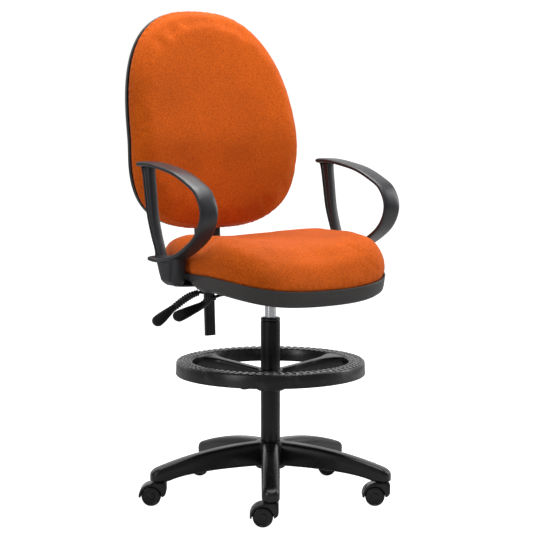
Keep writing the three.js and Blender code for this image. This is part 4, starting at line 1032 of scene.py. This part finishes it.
# %% Mould the back shell
SHELL_DEPTH = 56.0
SHELL_RIM = -BOARD_DEPTH - 0.3
shell_wall = 3 / BACK_HALF_WIDTH  # 3 mm, as a share of the outline
outside = np.vstack(
    [
        shifted([(CLOSING, 0), (0.4, 0), (0.66, 3.5), (0.83, 12), (0.93, 23)], -SHELL_DEPTH),
        shifted([(0.975, 34), (0.986, 42)], -SHELL_DEPTH),
        shifted([(0.987, -2), (0.985, 0)], SHELL_RIM),
    ]
)
inside = np.vstack(
    [
        shifted([(0.985, 0)], SHELL_RIM, -shell_wall),
        shifted([(0.985, 40), (0.93, 26), (0.83, 15)], -SHELL_DEPTH, -shell_wall),
        shifted([(0.66, 6.5), (0.4, 3), (CLOSING, 3)], -SHELL_DEPTH),
    ]
)
share, depth = np.vstack([smooth_line(outside, 48), smooth_line(inside, 30)]).T
dish = tube(back_form(share, depth, 180))
solid_piece("back_cover", [dish], "back", "soft_black", ("back_shell",), sharp=50)
print("back shell depth", SHELL_DEPTH)

# %% [markdown]
# ## The arms
#
# Each arm is one moulding: a broad flat band bent into an open D, a fluted post that joins its two
# tails, and a boss below that slips over the steel bracket. The band is a rounded section carried
# along a smooth line, the post is an I-shaped section on leaning stations, and the boss is a stack
# of rounded sections.

# %% Mould the arms
ARM_X = 283.0
ARM_WIDTH = 50.0
ARM_THICKNESS = 12.0
ARM_LINE = [
    (150, 858), (100, 858), (45, 851), (-20, 838), (-80, 815), (-118, 793), (-139, 757), (-135, 722),
    (-110, 688), (-64, 658), (-19, 638), (30, 627), (66, 622.5), (98, 625.5),
]
POST_STATIONS = [
    (132, 22, 859), (127, 16, 842), (120, 14, 800), (109, 12.5, 735), (92, 11, 685), (76, 10, 650),
    (71, 12, 634), (69, 17, 622),
]
SHIELD_Y = 23.0
SHIELD_Z = 597.0
SHIELD_HALF_DEPTH = 24.0
SHIELD_HALF_HEIGHT = 23.0
BOSS_STATIONS = [
    (565.4, 0, 22), (566.6, -6, 31), (571, -9.5, 41), (578, -11, 49), (588, -12.5, 56),
    (602, -15.5, 63), (620, -19.5, 71), (634, -21, 74),
]


def arm_band():
    """The loop: a flat oval section whose thickness falls away towards both tails."""
    line = smooth_line([(0, y, z) for y, z in ARM_LINE], 260)
    share = np.linspace(0, 1, len(line))
    edge = np.minimum(share, 1 - share)
    thin = 1.15 - 0.15 * ease(edge, 0, 0.1)
    tip = np.sqrt(np.clip(1 - (1 - edge / 0.008) ** 2 * (edge < 0.008), 0.1, 1))
    half = ARM_WIDTH / 2 * (0.9 + 0.1 * tip)
    x, y = oval(half, ARM_THICKNESS / 2 * thin * tip, 4.2, 80)
    crown = 1 - 0.12 * (x / (ARM_WIDTH / 2)) ** 2
    return tube(carried(line, (1, 0, 0), x, y * crown))


def arm_post():
    """The fluted upright: an I section, deep in Y, on stations that lean with the loop.

    Half the section is a row of points. Some keep their distance from the flute's rim, others from
    the post's edge, and the cut of the flute narrows the section between its two rims.
    """
    middle, half, z = map(column, smooth_line(POST_STATIONS, 56).T)
    edge, flute, width = 4.0, 6.5, 11.0
    with_rim = np.array([0, 0, 0, -1, -1, -1, -0.5, 0, 0.5, 1, 1, 1, 0])
    beside_rim = np.array([-1, -1, -1, 0, 0.06, 0.16, 0, 0, 0, -0.16, -0.06, 0, 1])
    cut = np.array([0, 0, 0, 0, 0.5, 0.85, 1, 1, 1, 0.85, 0.5, 0, 0])
    y_out = middle + (with_rim * (1 - edge / half) + beside_rim) * half
    y_out[:, 1:3] += (0.6, 1.8)
    x_out = width - (width - flute) * cut + 0 * half
    x_out[:, :2] *= (0.8, 0.93)
    x = np.concatenate([x_out, -x_out[:, ::-1]], axis=1)
    y = np.concatenate([y_out, y_out[:, ::-1]], axis=1)
    return tube(rings_of(x, y, z))


def arm_boss():
    """The boss: rounded rectangles stacked from its foot to the lower tail."""
    z, front, rear = map(column, smooth_line(BOSS_STATIONS, 30).T)
    half_width = 20 * (0.8 + 0.2 * ease(z, 565, 575))
    x, y = oval(half_width, (rear - front) / 2, 5, 48)
    return tube(rings_of(x, y + (rear + front) / 2, z))


def shield():
    """The raised panel on the boss's outer face: rounded rectangles stacked outwards."""
    out, scale = column([18, 20.6, 21.2, 21.4, 21.4]), column([1, 1, 0.985, 0.955, 0.3])
    y, z = oval(scale * SHIELD_HALF_DEPTH, scale * SHIELD_HALF_HEIGHT, 6, 56)
    taper = 1 + 0.22 * z / SHIELD_HALF_HEIGHT
    return tube(rings_of(out, SHIELD_Y + 0.08 * z + y * taper, SHIELD_Z + z))


def moved(part, shift, mirror):
    """A copy of a solid, shifted; a mirror of -1 first turns it over across the middle."""
    points, faces = part
    return points * np.array([mirror, 1, 1]) + np.asarray(shift, float), faces


arm_shapes = [arm_band(), arm_post(), arm_boss(), shield()]
for side_name, mirror in (("left", 1), ("right", -1)):
    shapes = [moved(shape, (mirror * ARM_X, 0, 0), mirror) for shape in arm_shapes]
    solid_piece(
        "arm_" + side_name, shapes, "seat", "arm_grey", ("arm_loop_" + side_name,), sharp=60
    )
print("two arms")

# %% [markdown]
# ## The five-leg base
#
# The base is one nylon moulding. Each leg arches down from the hub, has a softly crowned top and a
# flat underside, and ends in a rounded toe over the caster. The legs are sections placed along a
# radius: the crown is a low power of the oval, the underside a high one.

# %% Mould the base
LEG_START = 30.0
LEG_END = 318.0
LEG_HALF = 25.0
LEG_TAPER = 3.5  # how much narrower half the leg is at its end
LEG_SIDES = 56
STEM_CIRCLE = 296.0
TOE_START = 294.0
TOE_POWER = 2.6
CROWN_START = 0.42  # the share of the leg's height below its widest line
CROWN_POWER, FOOT_POWER = 0.72, 0.3
LEG_TOP = (0, 146), (175, 143), (LEG_END, 88)  # radius and height of three points of the curve
LEG_FOOT = (0, 84), (213, 86), (276, 60.5)
FIRST_LEG = math.pi / 2
LEGS = 5


def bezier(a, b, c, r):
    """The height of a three-point curve at each radius r."""
    t = np.linspace(0, 1, 200)[:, None]
    a, b, c = (np.asarray(p, float) for p in (a, b, c))
    curve = (1 - t) ** 2 * a + 2 * t * (1 - t) * b + t**2 * c
    return np.interp(r, curve[:, 0], curve[:, 1])


def along_radius(angle, out, across, height):
    """A closed solid that runs outwards at an angle: out along the radius, across square to it."""
    c, s = math.cos(angle), math.sin(angle)
    return tube(rings_of(out * c - across * s, out * s + across * c, height))


def leg(angle):
    """One leg: at each radius a crowned section between the underside and the top curve."""
    beyond = (LEG_END - STEM_CIRCLE) * np.sin(np.linspace(0.05, np.pi / 2, 16))
    r = np.concatenate([np.linspace(LEG_START, STEM_CIRCLE, 60), STEM_CIRCLE + beyond])
    toe = np.clip((r - TOE_START) / (LEG_END - TOE_START), 0, 1)
    top = column(bezier(*LEG_TOP, r) - 7 * toe**3)
    foot = column(bezier(*LEG_FOOT, np.minimum(r, LEG_FOOT[2][0])) + 2.5 * toe**3)
    half = (LEG_HALF - LEG_TAPER * r / LEG_END) * np.clip(1 - toe**TOE_POWER, 0, 1) ** (1 / TOE_POWER)
    half[-1] = half[-2] * 0.6
    middle = foot + CROWN_START * (top - foot)
    across = oval(half, half, 4.2, LEG_SIDES)[0]
    sine = np.sin(around(LEG_SIDES))
    crown, floor_edge = np.clip(sine, 0, 1) ** CROWN_POWER, np.clip(-sine, 0, 1) ** FOOT_POWER
    height = middle + (top - middle) * crown - (middle - foot) * floor_edge
    return along_radius(angle, column(r), across, height)


hub_profile = rounded([(23.6, 76), (38, 76), (43, 134), (38, 144.5), (30, 146), (25.4, 146)], 5, 6)
legs = [leg(angle) for angle in evenly(FIRST_LEG, LEGS)]
hub = torus(turned(hub_profile, 96))
solid_piece("base_star", [hub, *legs], "root", "nylon_black", ("star_base",), sharp=45)
print("base with", LEGS, "legs")

# %% [markdown]
# ## The casters
#
# A twin-wheel caster has two thin wheels on one axle under a hood, set off to the side of its
# swivelling stem. Each wheel is turned: a rounded tread, a shallow dish and a small raised cap.

# %% Turn the wheels
WHEEL_R = 24.6
WHEEL_INNER = 3.6
AXLE_HEIGHT = 25.0
TRAIL = 19.0
TRAIL_ANGLE = math.radians(144)
AXLE = np.array([math.cos(TRAIL_ANGLE - math.pi / 2), math.sin(TRAIL_ANGLE - math.pi / 2), 0])
tread_line = [(0.01, 0.3), (WHEEL_R - 2, 0.3), (WHEEL_R, 2.3), (WHEEL_R, 14), (WHEEL_R - 1.6, 17.2)]
disc_line = [(WHEEL_R - 4.2, 18), (WHEEL_R - 5.4, 16.2), (WHEEL_R - 12, 15), (9.2, 15.2), (8.4, 17)]
wheel_profile = rounded([*tread_line, *disc_line, (0.01, 17.4)], 1.4)
for number, angle in enumerate(evenly(FIRST_LEG, LEGS), 1):
    middle = np.array(
        [
            STEM_CIRCLE * math.cos(angle) + TRAIL * math.cos(TRAIL_ANGLE),
            STEM_CIRCLE * math.sin(angle) + TRAIL * math.sin(TRAIL_ANGLE),
            AXLE_HEIGHT,
        ]
    )
    caster = f"caster_{number}"
    for side_name, way in (("left", 1), ("right", -1)):
        axis = AXLE * way
        wheel = tube(turned(wheel_profile, 64, middle + axis * WHEEL_INNER, axis))
        solid_piece(
            f"{caster}_tyre_{side_name}", [wheel], f"{caster}_{side_name}", "nylon_black",
            (f"{caster}_wheel_{side_name}",),
        )
    softened_copy(f"{caster}_fork", f"{caster}_hood", caster, 1.6)
print("ten wheels, five hoods")

# %% [markdown]
# ## The column
#
# The column is a powder-coated steel tube wedged into the base. A plastic collar closes its top and
# guides the chrome gas cylinder that slides in it. A fine groove shows where collar and tube meet.

# %% Turn the column
tube_profile = [
    (5.4, 76), (23.2, 76), (25, 146), (25, 454.6), (24.4, 456), (23.1, 456), (23.1, 140), (20.2, 81),
    (5.4, 80),
]
collar_profile = [
    (14.4, 366), (22.6, 366), (22.6, 456.5), (24.2, 457.2), (25, 458.6), (25, 462.2), (23.6, 465.2),
    (20.6, 466), (15.6, 465.6), (14.4, 464.4),
]
cylinder_profile = [
    (5.4, 98), (13, 98), (14, 99), (14, 542.6), (12.8, 544), (4.4, 544), (4.4, 514), (11.4, 508),
    (11.4, 106), (5.4, 106),
]
for name, profile, softness, body, slot, node in (
    ("column_sleeve", tube_profile, 0.8, "root", "black_steel", "column_tube"),
    ("column_collar", collar_profile, 1.2, "root", "soft_black", "guide_bushing"),
    ("lift_cylinder", cylinder_profile, 0.8, "seat", "chrome", "gas_cylinder"),
):
    solid_piece(name, [torus(turned(rounded(profile, softness), 96))], body, slot, (node,))
print("column, collar and cylinder")

# %% [markdown]
# ## The footring
#
# The ring is a channel moulding whose tread carries a raised chevron pattern, so that shoes don't
# slip. The tread is a fine grid of angle and radius, lifted where the chevron function is high. Three
# spokes flare into the ring, and a lobed knob clamps the hub on the column.

# %% Mould the footring
RING_OUTER = 243.0
RING_INNER = 201.0
RING_TOP = 356.0
RING_FOOT = 321.0
CHEVRONS = 78
CHEVRON_SLANT = 0.9
STUD_HALF = 0.30  # as a share of the distance between studs
STUD_SLOPE = 0.06
STUD_HEIGHT = 1.9
RING_STEPS = 1200
TREAD_STEPS = 40


def chevrons(angle, share):
    """1 on a stud and 0 between studs: slanting bars that meet in a V in the middle of the tread."""
    off_middle = np.abs(share - 0.5)
    phase = (angle * CHEVRONS / (2 * np.pi) + off_middle * CHEVRON_SLANT) % 1
    bar = ease(STUD_HALF - np.abs(phase - 0.5), -STUD_SLOPE, STUD_SLOPE)
    gap = ease(off_middle, 0.015, 0.06)
    ends = ease(share, 0.0, 0.05) * ease(1 - share, 0.0, 0.05)
    cut = ease(np.abs(off_middle - 0.26), 0.012, 0.04)
    return bar * gap * ends * cut


def ring_section():
    """The closed section as radius and height, and the share of the tread, which is -1 beside it."""
    before = [
        shifted([(-1.5, 0), (-1.2, 12)], RING_FOOT, RING_INNER),
        shifted([(-0.3, -4.6), (0.5, -2.6)], RING_TOP, RING_INNER),
    ]
    share = np.linspace(0, 1, TREAD_STEPS)
    radius = RING_INNER + 2 + share * (RING_OUTER - RING_INNER - 5.5)
    tread = np.stack([radius, np.full(TREAD_STEPS, RING_TOP - STUD_HEIGHT)], axis=-1)
    after = [
        shifted([(-2.4, -2.6), (-1.4, -5)], RING_TOP, RING_OUTER),
        shifted([(-0.9, 14), (-0.1, 1), (-1.2, 0), (-4, 0)], RING_FOOT, RING_OUTER),
        [(RING_OUTER - 5.4, RING_TOP - 5), (RING_INNER + 4, RING_TOP - 5), (RING_INNER + 2.5, RING_FOOT)],
    ]
    beside = sum(map(len, before)), sum(map(len, after))
    return np.vstack([*before, tread, *after]), np.pad(share, beside, constant_values=-1)


section, tread_share = ring_section()
turn = around(RING_STEPS)
stud = np.where(column(tread_share) >= 0, chevrons(turn, column(np.maximum(tread_share, 0))), 0)
radius, height = section[:, :1], section[:, 1:] + STUD_HEIGHT * stud
ring_grid = rings_of(radius * np.cos(turn), radius * np.sin(turn), height)
SPOKES = 3
FIRST_SPOKE = math.radians(-126)
SPOKE_TOP = [26, 185, 205], [331, 353.2, 354]  # radii, and the heights there
SPOKE_FOOT = [26, 181, 205], [291, 321.5, 321.5]


def spoke(angle):
    """A spoke: sections along a radius, narrow at the hub, flaring and climbing into the ring."""
    r = np.linspace(28, RING_INNER + 4, 60)
    half = 15 + 31 * ease(r, 132, 204) ** 1.7
    top, foot = np.interp(r, *SPOKE_TOP), np.interp(r, *SPOKE_FOOT)
    across, height = oval(half, (top - foot) / 2, 4.5, 48)
    return along_radius(angle, column(r), across, height + column((top + foot) / 2))


ring_hub = rounded(
    [(25.4, 279), (34.5, 278), (36, 280), (34.2, 293), (32, 329), (29, 332), (26, 332), (25.4, 331)], 1.5
)
KNOB_TURN = math.radians(172)
KNOB_HEIGHT = 305.0
KNOB_AXIS = (math.cos(KNOB_TURN), math.sin(KNOB_TURN), 0)
boss_profile = rounded([(4.4, 28), (13, 28), (13, 58.5), (11.6, 60), (4.4, 60)], 1.2)
ring_parts = [torus(ring_grid), torus(turned(ring_hub, 96))]
ring_parts += [spoke(angle) for angle in evenly(FIRST_SPOKE, SPOKES)]
ring_parts += [torus(turned(boss_profile, 48, (0, 0, KNOB_HEIGHT), KNOB_AXIS))]
ring = solid_piece("footring_moulding", ring_parts, "footring", "nylon_black", ("footring",), sharp=50)
tread_height = float(AXIS[2]) + RING_TOP * MM
# The stud crests get a painted highlight: a pale colour above the tread's height.
ring.data.materials[0] = crest_highlight_and_wear("nylon_crest_highlight_and_wear", tread_height, NYLON[0], TREAD_HIGHLIGHT_AND_WEAR)
print("footring grid", ring_grid.shape[:2])


# %% Mould the knob
KNOB_R = 20
LOBES = 6
LOBE_HEIGHT = 1.9


def knob():
    """Six lobes: the radius swings with the cosine of six turns and falls off at both faces."""
    out = [62, 62.4, 64, 68, 76, 84, 87.5, 89.4, 90, 90]
    scale = [0.55, 0.78, 0.9, 0.97, 1.0, 0.97, 0.9, 0.8, 0.66, 0.3]
    out, scale = map(column, smooth_line(np.stack([out, scale], axis=-1), 48).T)
    angle = around(96)
    radius = scale * (KNOB_R + LOBE_HEIGHT * np.cos(LOBES * angle))
    return along_radius(KNOB_TURN, out, radius * np.cos(angle), radius * np.sin(angle) + KNOB_HEIGHT)


solid_piece("clamp_knob", [knob()], "footring_knob", "soft_black", ("footring_knob",))
print("knob")

# %% [markdown]
# ## The levers
#
# Two steel rods come out from under the seat. Each carries a rubbery grip: a short ribbed bellows
# that runs into a flat rounded paddle. The bellows is a round section whose radius swings along the
# line; the same line then flattens the section into the paddle.


# %% Mould the lever grips
PADDLE_TWIST = math.radians(50)  # turns the paddle's broad face forwards and up
RIB_PITCH = 7.2
SLEEVE_R = 7.4
PADDLE_HALF_WIDTH = 10.5
PADDLE_SPREAD = 4.3  # how much wider the paddle is at its tip
PADDLE_HALF_THICKNESS = 4.5
PADDLE_END = 15.0  # the length that is rounded off at the tip
SOFTENING = 15  # points averaged where the rod's line turns into the paddle's


def lever_line(points, tip, first):
    """The grip's line down to the paddle's tip, the distance along it, and where the paddle starts."""
    rod = smooth_line(points, 400)
    start = rod[int(first * len(rod)) :]
    paddle = start[-1] + (np.array(tip, float) - start[-1]) * np.linspace(0, 1, 120)[1:, None]
    line = np.vstack([start, paddle])
    step = np.r_[0, np.cumsum(np.linalg.norm(np.diff(line, axis=0), axis=1))]
    even = np.linspace(0, step[-1], 220)
    kernel = np.hanning(SOFTENING) / np.hanning(SOFTENING).sum()
    softened = []
    for values in line.T:
        wide = np.pad(np.interp(even, step, values), SOFTENING // 2, mode="reflect", reflect_type="odd")
        softened.append(np.convolve(wide, kernel, mode="valid"))
    return softened, even, step[len(start) - 1]


def grip(points, tip, y, first):
    """Bellows, neck and paddle as one run of sections; the paddle's section is turned by its twist."""
    (x, z), s, joint = lever_line(points, tip, first)
    line = np.stack([x, np.full(len(x), float(y)), z], axis=-1)
    blend = ease(s, joint - 10, joint + 18)
    waves = np.sin(2 * np.pi * s / RIB_PITCH) * (1 - ease(s, joint - 12, joint - 4))
    sleeve = SLEEVE_R + 1.2 * ease(s, 0, 40) + (1 + 0.5 * ease(s, 0, 40)) * waves
    paddle = PADDLE_HALF_WIDTH + PADDLE_SPREAD * ease(s, joint, s[-1] - 18)
    wide = sleeve * (1 - blend) + blend * paddle
    thick = sleeve * (1 - blend) + blend * PADDLE_HALF_THICKNESS
    toe = np.clip((s - (s[-1] - PADDLE_END)) / PADDLE_END, 0, 1)
    shape = np.sqrt(np.clip(1 - toe**2, 0.004, 1))
    start_round = np.sqrt(np.clip(s / 2, 0.1, 1))
    half_wide, half_thick = wide * shape * start_round, thick * (0.35 + 0.65 * shape) * start_round
    a, b = oval(half_wide, half_thick, 2 + 1.2 * blend, 40)
    c, d = math.cos(PADDLE_TWIST), math.sin(PADDLE_TWIST)
    return tube(carried(line, (0, 1, 0), c * a + d * b, c * b - d * a))


HEIGHT_POINTS = [(-34, 541), (-92, 537), (-172, 529), (-212, 510)]
BACK_POINTS = [(-34, 541), (-92, 537), (-176, 526), (-238, 494)]
for lever, points, tip, y, first in (
    ("height", HEIGHT_POINTS, (-293, 484), 0, 0.66),
    ("back", BACK_POINTS, (-292, 459), 95, 0.59),
):
    solid_piece(
        lever + "_grip", [grip(points, tip, y, first)], lever + "_lever", "soft_black",
        (lever + "_lever_grip",),
    )
print("two grips")

# %% [markdown]
# ## Pressed and bent steel
#
# The mechanism, its brackets, the back's bar and its plastic cover keep the shapes that the model
# gives them. Real pressings have no knife edges, so a copy of each gets a small bevel.

# %% Soften the steelwork
for node, body, width in (
    ("mechanism_housing", "seat", 0.9),
    ("arm_bracket_left", "seat", 0.9),
    ("arm_bracket_right", "seat", 0.9),
    ("back_bracket", "back_carrier", 1.0),
    ("upright_cover", "back", 1.6),
    ("back_upright", "back", 2.4),
):
    softened_copy(node + "_soft", node, body, width)
print("six pressings softened")

# %% [markdown]
# ## The floor
#
# A wide pale sheet under the chair, with a trace of unevenness so that it isn't a flat colour. Like
# the sweep behind it, it glows towards the camera, so that it reads as white.

# %% Lay the floor
FLOOR_HALF = 40.0
FLOOR_GLOW = 0.9
floor_mesh = bpy.data.meshes.new("floor")
corners = [(x * FLOOR_HALF, y * FLOOR_HALF, 0) for x, y in ((-1, -1), (1, -1), (1, 1), (-1, 1))]
floor_mesh.from_pydata(corners, [], [(0, 1, 2, 3)])
floor = bpy.data.objects.new("floor", floor_mesh)
link(floor)
pale, tree, shader, here = start_material("pale_floor")
tone = effect(tree, CLOUD, Vector=here, Scale=2.0)
towards_camera = tree.nodes.new("ShaderNodeLightPath").outputs["Is Camera Ray"]
fill(
    tree, shader, Base_Color=blend_colours(tree, tone, (0.58, 0.58, 0.58, 1), (0.6, 0.6, 0.6, 1)),
    Roughness=0.9, Specular_IOR_Level=0.1, Emission_Color=(1, 1, 1, 1),
    Emission_Strength=calc(tree, "MULTIPLY", towards_camera, FLOOR_GLOW),
)
floor_mesh.materials.append(pale)
print("floor", 2 * FLOOR_HALF, "m")

# %% Finish
print(len(made_pieces), "pieces made")
